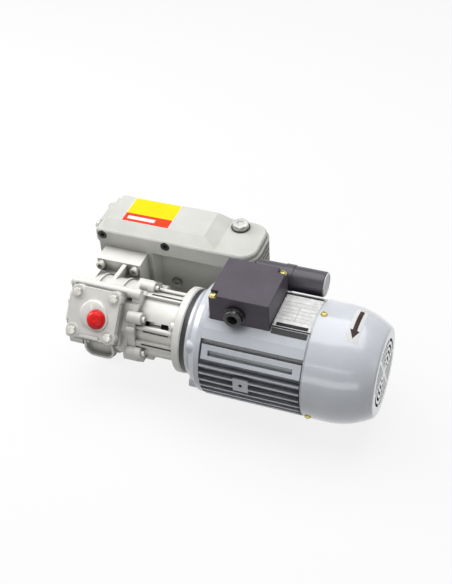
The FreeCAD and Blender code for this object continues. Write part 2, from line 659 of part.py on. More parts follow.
def build_motor_frame():
    """The ribbed frame: a ring with a faceted block on top, a slotted rail each side and fins below."""
    body = new_body("motor_frame")
    left, right = frame_front, frame_back
    ring = circle(circle(new_sketch(body, "YZ_Plane", left), s.frame_root), frame_bore)
    pad(body, ring, right - left)
    root = s.frame_root - s.fin_sunk
    half = [around(frame_bore + s.block_sunk, s.block_low), around(fin_tip, s.block_low),
            around(fin_tip, s.shoulder_angle), (-s.deck_half, deck_height)]
    pad_along(body, left, right, half + [(-y, z) for y, z in reversed(half)])
    for low, high, slot_low, slot_high in (
            (s.rail_low, s.rail_high, s.slot_low, s.slot_high),
            (STRAIGHT - s.rail_high, STRAIGHT - s.rail_low, STRAIGHT - s.slot_high, STRAIGHT - s.slot_low)):
        pad_along(body, left + s.fin_inset, right - s.fin_end_gap, sector(low, high, root, fin_tip))
        cut_along(body, left + s.slot_end, right - s.slot_end,
                  sector(slot_low, slot_high, fin_tip - s.slot_deep, cover_radius))
    fin = pad_along(body, left + s.fin_end_gap, right - s.fin_end_gap, fin_section(root))
    polar(body, fin, s.fin_count, s.fin_pitch * (s.fin_count - 1))
    side = s.pad_side * HALF
    pad_outline = rectangle(s.pad_x - side, s.pad_x + side, s.pad_middle - side, s.pad_middle + side)
    boss = outline(new_sketch(body, "XZ_Plane", root), pad_outline)
    pad(body, boss, fin_tip - root)
    hole = circle(new_sketch(body, "XZ_Plane", fin_tip), s.pad_hole, s.pad_x, s.pad_middle)
    pocket(body, hole, s.pad_hole_deep)
    seat_half = s.box_half + s.seat_side
    cut_along(body, s.box_x - s.seat_room, s.box_x + s.box_long + s.seat_room,
              rectangle(-seat_half, seat_half, box_base, deck_height + s.seat_room))
    pocket(body, circle(new_sketch(body, "YZ_Plane", right), frame_bore), right - left)
    duct = circle(new_sketch(body, "XY_Plane", box_base), s.gland_radius, s.box_x + s.box_long * HALF, 0)
    pocket(body, duct, box_base - frame_bore * HALF)
    return seat(body)


def fin_section(root):
    """The section of the first fin below the front rail, square to the ring."""
    along = (cosine(s.fin_first), sine(s.fin_first))
    half = s.fin_thick * HALF
    corners = []
    for radius, side in ((root, -1), (fin_tip, -1), (fin_tip, 1), (root, 1)):
        y = -radius * along[0] + side * half * along[1]
        z = radius * along[1] + side * half * along[0]
        corners.append((y, z))
    return corners


def build_motor_inside():
    """Stator, windings, rotor and shaft, with the bearings that carry the shaft."""
    body = new_body("stator_core")
    inner = s.rotor_radius + s.air_gap
    revolve(body, [(core_left, inner), (core_left, frame_bore), (core_right, frame_bore), (core_right, inner)])
    seat(body)
    seat(pair("stator_windings", core_left - s.winding_long, core_right, s.winding_inner,
              frame_bore - s.winding_room, s.winding_long))
    seat(pair("motor_bearings", bearing_front, bearing_rear, s.shaft_radius + s.running_gap, s.bearing_radius,
              s.bearing_wide))
    body = new_body("motor_rotor_core")
    revolve(body, [(core_left, s.shaft_radius), (core_left, s.rotor_radius), (core_right, s.rotor_radius),
                   (core_right, s.shaft_radius)])
    seat(body)
    body = new_body("motor_shaft")
    tail = bearing_rear + s.bearing_wide
    nose = -s.pump_nose + s.jaw_long + s.hub_gap * 2
    end = rear_back + s.fan_gap + s.fan_wide
    revolve(body, [(nose, 0), (nose, s.nose_radius), (bearing_front, s.nose_radius),
                   (bearing_front, s.shaft_radius), (tail, s.shaft_radius), (tail, s.fan_shaft),
                   (end, s.fan_shaft), (end, 0)])
    seat(body)


def pair(label, first, second, inner, outer, wide):
    """Two like rings on the shaft, as one sub-part."""
    rings = []
    for x in (first, second):
        start = vector(x, 0, 0)
        ring = rod(start, RIGHT, outer, wide).cut(rod(start, RIGHT, inner, wide))
        rings.append(ring)
    return loose_shape(label, Part.makeCompound(rings))


def build_rear_shield():
    """The end shield under the fan cover, with the rear bearing."""
    body = new_body("motor_rear_shield")
    housing = s.bearing_radius + s.housing_wall
    bore = s.fan_shaft + s.bearing_room
    outer = cover_radius - s.cover_wall
    lip = outer - s.rear_lip
    face = rear_back - s.rear_step
    seat_back = bearing_rear + s.bearing_wide
    revolve(body, [(frame_back, housing), (frame_back, outer), (rear_back, outer), (rear_back, lip),
                   (face, lip - s.rear_slope), (face, bore), (seat_back, bore),
                   (seat_back, s.bearing_radius), (bearing_rear, s.bearing_radius), (bearing_rear, housing)])
    return seat(drilled(body, grille_screws))


def build_fan():
    """The cooling fan on the shaft's tail: a plate, a hub and straight blades."""
    body = new_body("cooling_fan")
    left = rear_back + s.fan_gap
    right = left + s.fan_wide
    radius = cover_radius - s.fan_room
    revolve(body, [(left, s.fan_shaft), (left, radius), (left + s.fan_plate, radius),
                   (left + s.fan_plate, s.fan_hub), (right, s.fan_hub), (right, s.fan_shaft)])
    half = s.fan_blade_thick * HALF
    blade = pad_along(body, left, right,
                      rectangle(-radius + s.blade_end_gap, -s.fan_hub + s.blade_end_gap, -half, half))
    polar(body, blade, s.fan_blades)
    return seat(body)


def build_fan_cover():
    """The fan cover: a straight rim, a long bulge and a flat end with rings of air slots."""
    body = new_body("fan_cover")
    outer = cover_profile(new_sketch(body, "XY_Plane"))
    feature(body, "Revolution", outer)
    blend(body, s.cover_edge, lambda edge: at(edge, 0, cover_back) and edge.Curve.TypeId == "Part::GeomCircle")
    doc.recompute()
    base = body.Tip
    rim = [f"Face{k}" for k, face in enumerate(base.Shape.Faces, 1)
           if at(face, 0, cover_rim) and face.Surface.TypeId == "Part::GeomPlane"]
    shell = body.newObject("PartDesign::Thickness", "Thickness")
    shell.Base = (base, rim)
    shell.Value = number_of(s.cover_wall)
    bind(shell, "Value", s.cover_wall)
    shell.Reversed = True
    return seat(drilled(body, grille_screws, grille_slots()))


def cover_profile(sketch):
    """Half the outline of the fan cover: rim, straight part, bulge and end, closed on the axis."""
    knee = cover_rim + s.cover_straight
    centre = cover_radius - s.cover_bulge
    reach = number_of(cover_back - knee)
    end_radius = number_of(centre) + math.sqrt(number_of(s.cover_bulge) ** 2 - reach ** 2)
    x0, x1, x2 = (number_of(x) for x in (cover_rim, knee, cover_back))
    top = number_of(cover_radius)
    turned = math.acos(reach / number_of(s.cover_bulge))
    bulge = Part.Circle(vector(x1, centre, 0), UP, number_of(s.cover_bulge))
    line = Part.LineSegment
    point = FreeCAD.Vector
    sketch.addGeometry(line(point(x0, 0, 0), point(x0, top, 0)))
    sketch.addGeometry(line(point(x0, top, 0), point(x1, top, 0)))
    sketch.addGeometry(Part.ArcOfCircle(bulge, turned, math.radians(90)))
    sketch.addGeometry(line(point(x2, end_radius, 0), point(x2, 0, 0)))
    sketch.addGeometry(line(point(x2, 0, 0), point(x0, 0, 0)))
    for first, a, second, b in ((0, 2, 1, 1), (1, 2, 2, 2), (2, 1, 3, 1), (3, 2, 4, 1), (4, 2, 0, 1)):
        sketch.addConstraint(Sketcher.Constraint("Coincident", first, a, second, b))
    hold(sketch, "DistanceX", cover_rim, -1, 1, 0, 1)
    hold(sketch, "DistanceY", 0, -1, 1, 0, 1)
    hold(sketch, "DistanceX", cover_rim, -1, 1, 0, 2)
    hold(sketch, "DistanceY", cover_radius, -1, 1, 0, 2)
    hold(sketch, "DistanceX", knee, -1, 1, 1, 2)
    hold(sketch, "DistanceY", cover_radius, -1, 1, 1, 2)
    hold(sketch, "DistanceX", knee, -1, 1, 2, 3)
    hold(sketch, "DistanceY", centre, -1, 1, 2, 3)
    hold(sketch, "DistanceX", cover_back, -1, 1, 3, 1)
    hold(sketch, "DistanceX", cover_back, -1, 1, 3, 2)
    hold(sketch, "DistanceY", 0, -1, 1, 3, 2)
    return sketch


def grille_slots():
    """Rings of slots through the cover's end, with spokes left between them."""
    body = new_body("grille_slots")
    left = cover_back - s.cover_wall * 2
    right = cover_back + s.cover_wall
    sketch = new_sketch(body, "XY_Plane")
    for k in range(int(number_of(s.grille_rings))):
        inner = s.grille_inner + k * (s.grille_slot + s.grille_bar)
        outline(sketch, rectangle(left, right, inner, inner + s.grille_slot))
    feature(body, "Revolution", sketch)
    half = s.grille_spoke * HALF
    section = rectangle(-cover_radius, 0, -half, half)
    spoke = cut_along(body, left - s.cover_wall, right + s.cover_wall, section)
    polar(body, spoke, s.grille_spokes)
    return body


def build_terminal_box():
    """The terminal box on the motor: its base, its lid and the terminals."""
    build_terminal_base()
    build_terminal_lid()
    block = new_body("terminal_block")
    near = s.box_x + s.box_long * HALF + s.gland_radius + s.terminal_room
    plan = rectangle(near, near + s.terminal_deep, -s.terminal_wide * HALF, s.terminal_wide * HALF)
    pad(block, outline(new_sketch(block, "XY_Plane", box_base + s.box_wall), plan), s.terminal_tall)
    seat(block)
    lid_screws.build()


def build_terminal_base():
    """The box's base: four walls and a floor, a post for each lid screw, a duct and the gland's hole."""
    left, right = s.box_x, s.box_x + s.box_long
    low, split = box_base, box_base + s.box_tall - s.lid_tall
    half, wall = s.box_half, s.box_wall
    body = new_body("terminal_box_base")
    pad(body, outline(new_sketch(body, "XY_Plane", low), rectangle(left, right, -half, half)), split - low)
    blend(body, s.box_edge, lambda edge: runs(edge, 2))
    hollow = rectangle(left + wall, right - wall, -half + wall, half - wall)
    pocket(body, outline(new_sketch(body, "XY_Plane", split), hollow), split - low - wall)
    post_side = s.notch - s.post_in
    for x, y in ((left, -half), (right - s.notch, half - s.notch)):
        post = rectangle(x + s.post_in, x + post_side, y + s.post_in, y + post_side)
        pad(body, outline(new_sketch(body, "XY_Plane", low + s.post_in), post), split - low - s.post_in)
    duct = circle(new_sketch(body, "XY_Plane", low + wall * 2), s.gland_radius - s.gland_nut_step,
                  (left + right) * HALF, 0)
    pocket(body, duct, wall * 3)
    entry = circle(new_sketch(body, "XZ_Plane", half + wall), s.gland_thread, left + s.gland_x, gland_z)
    pocket(body, entry, wall * 3)
    seat(drilled(body, lid_screws))


def build_terminal_lid():
    """The box's lid, notched at two corners where its screws sit."""
    left, right = s.box_x, s.box_x + s.box_long
    top = box_base + s.box_tall
    split = top - s.lid_tall
    half, wall, notch = s.box_half, s.box_wall, s.notch
    body = new_body("terminal_box_lid")
    pad(body, outline(new_sketch(body, "XY_Plane", split), rectangle(left, right, -half, half)), s.lid_tall)
    blend(body, s.box_edge, lambda edge: runs(edge, 2))
    blend(body, s.lid_edge, lambda edge: at(edge, 2, top))
    hollow = rectangle(left + notch + wall, right - notch - wall, -half + wall, half - wall)
    pocket(body, outline(new_sketch(body, "XY_Plane", split), hollow), s.lid_tall - wall, back=True)
    for x, y in ((left - wall, -half - wall), (right - notch, half - notch)):
        corner = rectangle(x, x + notch + wall, y, y + notch + wall)
        pocket(body, outline(new_sketch(body, "XY_Plane", top + wall), corner), s.notch_deep + wall)
    seat(drilled(body, lid_screws))


def build_gland():
    """The cable gland on the box's front: collar, seal and clamping nut round an open bore."""
    x, z = s.box_x + s.gland_x, gland_z
    front = s.box_half
    collar_front = front + s.gland_collar
    nut_front = collar_front + s.gland_nut
    inside = s.gland_bore + s.gland_skin
    body = new_body("cable_gland")
    pad(body, circle(new_sketch(body, "XZ_Plane", front), s.gland_radius, x, z), s.gland_collar)
    thread = circle(new_sketch(body, "XZ_Plane", front - s.box_wall), s.gland_thread - s.clearance, x, z)
    pad(body, thread, s.box_wall + s.gland_collar + s.gland_nut - s.gland_skin)
    through = nut_front - front + s.box_wall * 2
    pocket(body, circle(new_sketch(body, "XZ_Plane", nut_front), inside, x, z), through)
    seat(body)
    seal = new_body("gland_seal")
    ring = circle(new_sketch(seal, "XZ_Plane", collar_front - s.gland_skin), inside - s.clearance, x, z)
    pad(seal, circle(ring, s.gland_bore, x, z), s.gland_nut)
    seat(seal)
    nut = new_body("gland_nut")
    outer = s.gland_radius - s.gland_nut_step
    pad(nut, circle(new_sketch(nut, "XZ_Plane", collar_front), outer, x, z), s.gland_nut)
    blend(nut, s.gland_lip, lambda edge: is_ring(edge, outer) and at(edge, 1, -nut_front), "Chamfer")
    recess = circle(new_sketch(nut, "XZ_Plane", collar_front), s.gland_thread, x, z)
    pocket(nut, recess, s.gland_nut - s.gland_skin, back=True)
    pocket(nut, circle(new_sketch(nut, "XZ_Plane", nut_front), s.gland_bore, x, z), s.gland_nut)
    seat(nut)


def build_capacitor():
    """The run capacitor along the back of the terminal box, in a clamp on the frame's shoulder."""
    y = s.capacitor_y
    facet = fin_tip * (cosine(s.shoulder_angle) + sine(s.shoulder_angle))
    z = facet + (s.capacitor_radius + s.clamp_thick) * ROOT_TWO - s.capacitor_y
    body = new_body("capacitor")
    pad(body, circle(new_sketch(body, "YZ_Plane", s.capacitor_x), s.capacitor_radius, y, z), s.capacitor_long)
    blend(body, s.capacitor_edge, lambda edge: is_ring(edge, s.capacitor_radius)
          and at(edge, 0, s.capacitor_x), "Chamfer")
    blend(body, s.capacitor_lip, lambda edge: is_ring(edge, s.capacitor_radius)
          and at(edge, 0, s.capacitor_x + s.capacitor_long), "Chamfer")
    seat(body)
    clamp = new_body("capacitor_clamp")
    ring = new_sketch(clamp, "YZ_Plane", s.box_x + s.box_long - s.clamp_in)
    circle(circle(ring, s.capacitor_radius + s.clamp_thick, y, z), s.capacitor_radius, y, z)
    pad(clamp, ring, s.clamp_wide)
    seat(clamp)


def cover_section(front):
    """The square of the covers and of the cylinder's ends, cut off below the inlet's pad."""
    half, bevel = s.cover_half, s.cover_bevel
    out = s.inlet_face - s.cover_under
    cut_z = (out - half * cosine(s.inlet_angle)) / sine(s.inlet_angle)
    cut_y = (half * sine(s.inlet_angle) - out) / cosine(s.inlet_angle)
    return [(-half + front, -half), (half - bevel, -half), (half, -half + bevel), (half, half - bevel),
            (half - bevel, half), (cut_y, half), (-half, cut_z), (-half, -half + front)]


def inlet_point(out, up):
    """A point (y, z) in the section through the inlet: out along its axis, up along its pad."""
    y = up * sine(s.inlet_angle) - out * cosine(s.inlet_angle)
    z = out * sine(s.inlet_angle) + up * cosine(s.inlet_angle)
    return (y, z)


def inlet_block(body, low, high, half, left):
    """Pads a block square to the inlet's axis, from low to high out of the shaft."""
    corners = ((low, -half), (high, -half), (high, half), (low, half))
    section = [inlet_point(out, up) for out, up in corners]
    pad_along(body, left, s.inlet_x + half, section)


def build_cylinder():
    """The vane cylinder: a round body with square ends, the tilted inlet pad and the feet behind."""
    body = new_body("pump_cylinder")
    left, right = cylinder_left, cylinder_right
    pad(body, circle(new_sketch(body, "YZ_Plane", left), s.body_radius), right - left)
    pad_along(body, left, left + s.end_flange, cover_section(s.left_bevel))
    pad_along(body, right - s.end_flange, right, cover_section(s.right_bevel))
    for x in (s.belt_left, s.belt_right):
        pad(body, circle(new_sketch(body, "YZ_Plane", x), s.belt_radius), s.belt_wide)
    build_front_tray(body)
    neck = s.inlet_neck * HALF
    inlet_block(body, s.inlet_face - s.inlet_pad, s.inlet_face, s.inlet_side * HALF, left)
    inlet_block(body, s.inlet_face * HALF, s.inlet_face - s.inlet_pad + s.inlet_gasket, neck, s.inlet_x - neck)
    bar = inlet_point(s.inlet_face - s.bar_radius, s.inlet_side * HALF)
    pad(body, circle(new_sketch(body, "YZ_Plane", left), s.bar_radius, *bar), right - left)
    foot_front = s.mount_front + s.web_drop
    pad_along(body, s.mount_left, s.mount_right,
              rectangle(s.mount_front, s.shaft_to_box, -s.mount_half, s.mount_half))
    pad_along(body, left, s.mount_right, rectangle(s.bore_radius, foot_front, -s.mount_neck, s.mount_neck))
    web = [(0, s.rotor_body), (foot_front, s.rotor_body * HALF), (foot_front, s.mount_half - s.web_drop),
           (0, s.cover_half)]
    pad_along(body, s.web_x - s.web_thick * HALF, s.web_x + s.web_thick * HALF, web)
    pocket(body, circle(new_sketch(body, "YZ_Plane", right), s.bore_radius, 0, -s.rotor_drop))
    chamber = circle(inlet_sketch(body, s.inlet_face), s.chamber_radius, s.inlet_x + s.port_x, -s.port_drop)
    pocket(body, chamber, s.chamber_deep)
    suction = circle(inlet_sketch(body, s.inlet_face), s.suction_radius, s.inlet_x + s.port_x, -s.port_drop)
    pocket(body, suction, s.inlet_face - s.rotor_body + s.suction_radius)
    exhaust = circle(new_sketch(body, "XZ_Plane", -s.shaft_to_box), s.exhaust_radius,
                     (s.mount_left + s.mount_right) * HALF, 0)
    pocket(body, exhaust, s.shaft_to_box - s.rotor_body, back=True)
    return seat(drilled(body, cover_screws, lantern_screws, mount_screws, plate_bolts))


def build_front_tray(body):
    """A raised rim round a shallow recess low on the cylinder's front."""
    wall = s.tray_wall
    outer = rectangle(s.tray_left, s.tray_right, s.tray_low, s.tray_high)
    inner = rectangle(s.tray_left + wall, s.tray_right - wall, s.tray_low + wall, s.tray_high)
    corner, inner_corner = s.tray_corner, s.tray_corner - wall
    rim = rounded(new_sketch(body, "XZ_Plane", s.tray_back), outer, (corner, corner, 0, 0))
    pad(body, rim, s.tray_front - s.tray_back)
    recess = rounded(new_sketch(body, "XZ_Plane", s.tray_front), inner, (inner_corner, inner_corner, 0, 0))
    pocket(body, recess, s.tray_front - s.tray_floor)


def build_end_covers():
    """The two covers of the cylinder, with bushes for the rotor's journals and a shaft seal."""
    bar = inlet_point(s.inlet_face - s.bar_radius, s.inlet_side * HALF)
    body = new_body("left_end_cover")
    pad_along(body, left_cover_x, cylinder_left, cover_section(s.left_bevel))
    pad(body, circle(new_sketch(body, "YZ_Plane", left_cover_x), s.bar_radius, *bar), s.left_cover_thick)
    web_to_bar(body, left_cover_x, s.left_cover_thick)
    pocket(body, circle(new_sketch(body, "YZ_Plane", cylinder_left), s.bush_radius), s.bush_long)
    seat(drilled(body, cover_screws))
    body = new_body("right_end_cover")
    pad_along(body, cylinder_right, right_cover_x, cover_section(s.right_bevel))
    pad(body, circle(new_sketch(body, "YZ_Plane", cylinder_right), s.bar_radius, *bar), s.right_cover_thick)
    web_to_bar(body, cylinder_right, s.right_cover_thick)
    lug = circle(new_sketch(body, "YZ_Plane", cylinder_right), s.lug_radius, *around(s.lug_circle, s.lug_start))
    polar(body, pad(body, lug, s.right_cover_thick), s.lug_count)
    for angle in (s.boss_low, s.boss_high):
        boss = circle(new_sketch(body, "YZ_Plane", cylinder_right), s.side_boss, *around(s.boss_circle, angle))
        pad(body, boss, s.right_cover_thick)
    pocket(body, circle(new_sketch(body, "YZ_Plane", right_cover_x), s.bush_radius))
    pocket(body, circle(new_sketch(body, "YZ_Plane", right_cover_x), s.seal_radius), s.seal_long)
    seat(drilled(body, lantern_screws))
    bush = s.journal_radius + s.running_gap
    seat(pair("pump_bearings", cylinder_left - s.bush_long, cylinder_right, bush, s.bush_radius,
              s.bush_long - s.bush_room))
    seal = new_body("shaft_seal")
    back = right_cover_x - s.seal_long
    revolve(seal, [(back, bush), (back, s.seal_radius), (right_cover_x, s.seal_radius), (right_cover_x, bush)])
    seat(seal)


def web_to_bar(body, left, thick):
    """Joins the tie bar's lobe to the square of a cover."""
    out = s.inlet_face - s.bar_radius
    up = s.inlet_side * HALF
    foot = up - s.bar_radius * 2
    section = [inlet_point(out - s.bar_radius, foot), inlet_point(out, foot),
               inlet_point(out + s.bar_radius * HALF, up), inlet_point(out - s.bar_radius * 2, up)]
    pad_along(body, left, left + thick, section)


def build_rotor():
    """The slotted rotor with its journals, and the three vanes in it."""
    body = new_body("pump_rotor")
    left, right = cylinder_left + s.running_gap, cylinder_right - s.running_gap
    tail = cylinder_left - s.bush_long
    revolve(body, [(tail, 0), (tail, s.journal_radius), (left, s.journal_radius), (left, s.rotor_body),
                   (right, s.rotor_body), (right, s.journal_radius), (-s.pump_nose, s.journal_radius),
                   (-s.pump_nose, 0)])
    low = s.vane_offset - s.vane_thick * HALF
    high = s.vane_offset + s.vane_thick * HALF
    room = s.running_gap
    slot = cut_along(body, left - room, right + room,
                     rectangle(-s.bore_radius, -s.slot_floor, low - room, high + room))
    polar(body, slot, s.vane_count)
    seat(body)
    inner = s.slot_floor + s.vane_travel + room * 2
    count = int(number_of(s.vane_count))
    for k in range(count):
        vane = new_body(f"vane_{k + 1}")
        pad_along(vane, left + room, right - room, rectangle(-s.vane_tip, -inner, low, high))
        seat(vane, FULL_TURN / count * k)


def build_coupling():
    """The jaw coupling in the lantern: a half on each shaft and the elastic spider between."""
    gap = s.hub_gap
    pitch = FULL_TURN / s.jaw_count
    half_jaw = s.jaw_angle * HALF
    left_face = -s.pump_nose
    right_face = left_face + s.jaw_long + gap * 2
    jaw_section = (s.spider_core + s.jaw_in, s.hub_radius - s.jaw_in)
    for label, hub, jaw_left, bore, first in (
            ("coupling_pump_half", left_face - s.hub_long, left_face, s.journal_radius, 0 * pitch),
            ("coupling_motor_half", right_face, right_face - s.jaw_long, s.nose_radius, pitch * HALF)):
        body = new_body(label)
        end = hub + s.hub_long
        revolve(body, [(hub, bore), (hub, s.hub_radius), (end, s.hub_radius), (end, bore)])
        jaw = pad_along(body, jaw_left, jaw_left + s.jaw_long,
                        sector(first - half_jaw, first + half_jaw, *jaw_section))
        polar(body, jaw, s.jaw_count)
        seat(body)
    body = new_body("coupling_spider")
    left, right = left_face + gap * HALF, right_face - gap * HALF
    revolve(body, [(left, s.spider_core * HALF), (left, s.spider_core), (right, s.spider_core),
                   (right, s.spider_core * HALF)])
    arm = pad_along(body, left, right,
                    sector(half_jaw, pitch * HALF - half_jaw, s.spider_core - s.arm_sunk, s.spider_arm))
    polar(body, arm, s.jaw_count * 2)
    seat(body)


def build_inlet():
    """The inlet flange on its gasket, with the red cap, and the non-return valve below it."""
    x, up = s.inlet_x + s.port_x, -s.port_drop
    half = s.inlet_side * HALF
    plan = rectangle(s.inlet_x - half, s.inlet_x + half, -half, half)
    low = s.inlet_face + s.inlet_gasket
    top = inlet_top + s.boss_tall
    gasket = new_body("inlet_gasket")
    pad(gasket, outline(new_sketch(gasket, "XY_Plane", s.inlet_face), plan), s.inlet_gasket)
    pocket(gasket, circle(new_sketch(gasket, "XY_Plane", low), s.chamber_radius, x, up))
    seat(drilled(gasket, plate_bolts_flat()), tilt)
    plate = new_body("inlet_flange")
    pad(plate, outline(new_sketch(plate, "XY_Plane", low), plan), s.plate_thick)
    blend(plate, s.plate_corner, lambda edge: runs(edge, 2))
    blend(plate, s.plate_edge, lambda edge: at(edge, 2, inlet_top), "Chamfer")
    pad(plate, circle(new_sketch(plate, "XY_Plane", inlet_top), s.boss_radius, x, up), s.boss_tall)
    bar_low = -half + s.plate_rib_in
    bar = rectangle(s.inlet_x - half * HALF, s.inlet_x + half * HALF, bar_low, bar_low + s.plate_rib)
    pad(plate, outline(new_sketch(plate, "XY_Plane", inlet_top), bar), s.plate_rib_tall)
    pocket(plate, circle(new_sketch(plate, "XY_Plane", top), s.port_radius, x, up))
    pocket(plate, circle(new_sketch(plate, "XY_Plane", top), s.port_entry, x, up), s.port_entry_deep)
    seat(drilled(plate, plate_bolts_flat()), tilt)
    build_inlet_cap(top, x, up)
    disc = new_body("valve_disc")
    under = low - s.running_gap
    rim = s.chamber_radius - s.running_gap
    pad(disc, circle(new_sketch(disc, "XY_Plane", under - s.disc_thick), rim, x, up), s.disc_thick)
    for side in (-1, 1):
        notch = circle(new_sketch(disc, "XY_Plane", under), s.disc_notch, x + side * rim, up)
        pocket(disc, notch, s.disc_thick)
    seat(disc, tilt)


def build_inlet_cap(face, x, up):
    """The red cap that stops the inlet in transport: a domed plug with a hollow skirt."""
    cap = new_body("inlet_cap")
    spigot = s.cap_radius - s.clearance
    foot = face - s.cap_skirt
    tall = s.cap_skirt + s.cap_proud
    pad(cap, circle(new_sketch(cap, "XY_Plane", foot), spigot, x, up), tall)
    blend(cap, s.cap_bevel, lambda edge: at(edge, 2, face + s.cap_proud))
    hollow = circle(new_sketch(cap, "XY_Plane", foot), spigot - s.cap_wall, x, up)
    pocket(cap, hollow, tall - s.cap_roof, back=True)
    seat(cap, tilt)


def plate_bolts_flat():
    """The bolts' holes in the inlet's own frame, where the flange and gasket are drawn."""
    holes = plate_bolts.holes()
    holes.Placement = FreeCAD.Placement()
    return holes


def build_separator():
    """The oil separator box: a cored casting with a band along its front, a deck and a ribbed end."""
    body = new_body("separator_housing")
    left, right, back = s.box_left, s.box_right, s.box_back
    main = rectangle(left, right, wall_front, back)
    pad(body, outline(new_sketch(body, "XY_Plane", box_low), main), s.box_top - box_low)
    blend(body, s.end_round, lambda edge: runs(edge, 2) and at(edge, 0, right))
    band = rectangle(left, right, band_front, back)
    pad(body, outline(new_sketch(body, "XY_Plane", s.band_low), band), s.box_top - s.band_low)
    blend(body, s.end_round, lambda edge: runs(edge, 2) and at(edge, 0, right))
    blend(body, s.band_round, lambda edge: runs(edge, 1) and at(edge, 0, left) and at(edge, 2, s.band_low))
    blend(body, s.top_edge, lambda edge: at(edge, 2, s.box_top) and not at(edge, 0, left), "Chamfer")
    root = wall_front + s.shell_wall
    pillar = [(s.pillar_left, band_front), (s.pillar_right, band_front), (s.pillar_right + s.gusset, root),
              (s.pillar_left, root)]
    pillar_tall = s.band_low + s.shell_wall - s.pillar_low
    pad(body, outline(new_sketch(body, "XY_Plane", s.pillar_low), pillar), pillar_tall)
    build_deck(body)
    build_end_ribs(body)
    hollow = rectangle(wall_front + s.shell_wall, back - s.shell_wall, box_low + s.shell_wall,
                       s.box_top - s.shell_wall)
    inside = outline(new_sketch(body, "YZ_Plane", left - s.shell_wall), hollow)
    pocket(body, inside, right - left, back=True)
    for place in end_cover_places():
        pad(body, circle(new_sketch(body, "YZ_Plane", left), s.end_boss, place.y, place.z), s.end_boss_long)
    wall = s.shell_wall * HALF
    pad_along(body, s.partition_x, s.partition_x + s.shell_wall,
              rectangle(wall_front + wall, back - wall, box_low + wall, s.box_top - wall))
    through = s.shell_wall * 2
    hole = new_sketch(body, "YZ_Plane", s.partition_x + through)
    pocket(body, circle(hole, s.partition_hole, s.filter_y, s.filter_z), through)
    filler = circle(new_sketch(body, "XY_Plane", s.box_top + s.shell_wall), s.plug_thread + s.clearance,
                    s.plug_x, s.plug_y)
    pocket(body, filler, through + s.clearance)
    sinks = [rod(place, FRONT, s.band_sink, s.shell_wall * 2) for place in band_places()]
    sink_tool = loose_shape("band_screw_sinks", Part.makeCompound(sinks))
    return seat(drilled(body, mount_screws, box_cover_screws, band_screws, sink_tool, separator_plug_holes()))


def build_deck(body):
    """The raised deck on the box, sloped down to the front and to the right."""
    left, top = s.box_left + s.deck_in, s.box_top
    right = s.deck_right + s.deck_slope
    root = top - s.shell_wall * HALF
    front_foot = band_front + s.deck_foot
    back = s.box_back - s.deck_back
    section = [(front_foot, root), (front_foot, top), (band_front + s.deck_front, deck_top), (back, deck_top),
               (back, root)]
    pad_along(body, left, right, section)
    over = deck_top + s.deck_rise
    wedge = [(s.deck_right, over), (s.deck_right, deck_top), (right, top), (right + s.deck_rise, top),
             (right + s.deck_rise, over)]
    pocket(body, outline(new_sketch(body, "XZ_Plane", -s.box_back), wedge), s.box_back - band_front, back=True)


def build_end_ribs(body):
    """Flat ribs that wrap round the box's right end, from just below its top to its foot."""
    right = s.box_right + s.end_rib_proud
    first = s.box_top - s.end_rib_top - s.end_rib_thick
    for k in range(int(number_of(s.end_rib_count))):
        low = first - k * s.end_rib_pitch
        front = band_front if number_of(low) > number_of(s.band_low) else wall_front
        rib = rectangle(s.box_right - s.end_round, right, front, s.box_back)
        plan = rounded(new_sketch(body, "XY_Plane", low), rib, (0, s.end_round, s.end_round, 0))
        pad(body, plan, s.end_rib_thick)


def separator_plug_holes():
    """Holes for the plugs and the sight glass in the box's walls."""
    inside = s.box_right - s.shell_wall * 2
    deep = s.shell_wall * 3
    sight = rod(vector(inside, s.sight_y, s.sight_z), RIGHT, s.sight_bore, deep)
    drain = rod(vector(inside, s.drain_y, s.drain_z), RIGHT, s.drain_radius, deep)
    behind = wall_front + s.shell_wall * 2
    plug = rod(vector(s.wall_plug_x, behind, s.wall_plug_z), FRONT, s.wall_plug_radius, deep)
    pads = [rod(vector(s.box_right, y, z), RIGHT, radius, s.shell_wall)
            for y, z, radius in ((s.sight_y, s.sight_z, s.sight_seat), (s.drain_y, s.drain_z, s.drain_seat))]
    return loose_shape("separator_plug_holes", Part.makeCompound([sight, drain, plug] + pads))


def build_box_end():
    """The box's end cover with its gasket and the threaded exhaust outlet."""
    front, back = wall_front + s.end_cover_in, s.box_back - s.end_cover_in
    low, high = box_low + s.end_cover_in, s.box_top - s.end_cover_in
    bevel = s.end_bevel
    section = [(front + bevel, low), (back - bevel, low), (back, low + bevel), (back, high - bevel),
               (back - bevel, high), (front + bevel, high), (front, high - bevel), (front, low + bevel)]
    joint = s.box_left - s.end_gasket
    face = joint - s.end_cover_thick
    gasket = new_body("exhaust_cover_gasket")
    pad_along(gasket, joint, s.box_left, section)
    wall = s.end_screw_in + s.end_boss
    cut_along(gasket, joint - s.end_gasket, s.box_left + s.end_gasket, rectangle(
        wall_front + wall, s.box_back - wall, box_low + wall, s.box_top - wall))
    seat(drilled(gasket, box_cover_screws))
    cover = new_body("exhaust_cover")
    pad_along(cover, face, joint, section)
    blend(cover, s.end_cover_edge, lambda edge: at(edge, 0, face), "Chamfer")
    boss = circle(new_sketch(cover, "YZ_Plane", face - s.outlet_tall), s.outlet_boss, s.outlet_y, s.outlet_z)
    pad(cover, boss, s.outlet_tall + s.end_cover_thick)
    outlet = circle(new_sketch(cover, "YZ_Plane", joint), s.outlet_radius, s.outlet_y, s.outlet_z)
    pocket(cover, outlet)
    seat(drilled(cover, box_cover_screws))


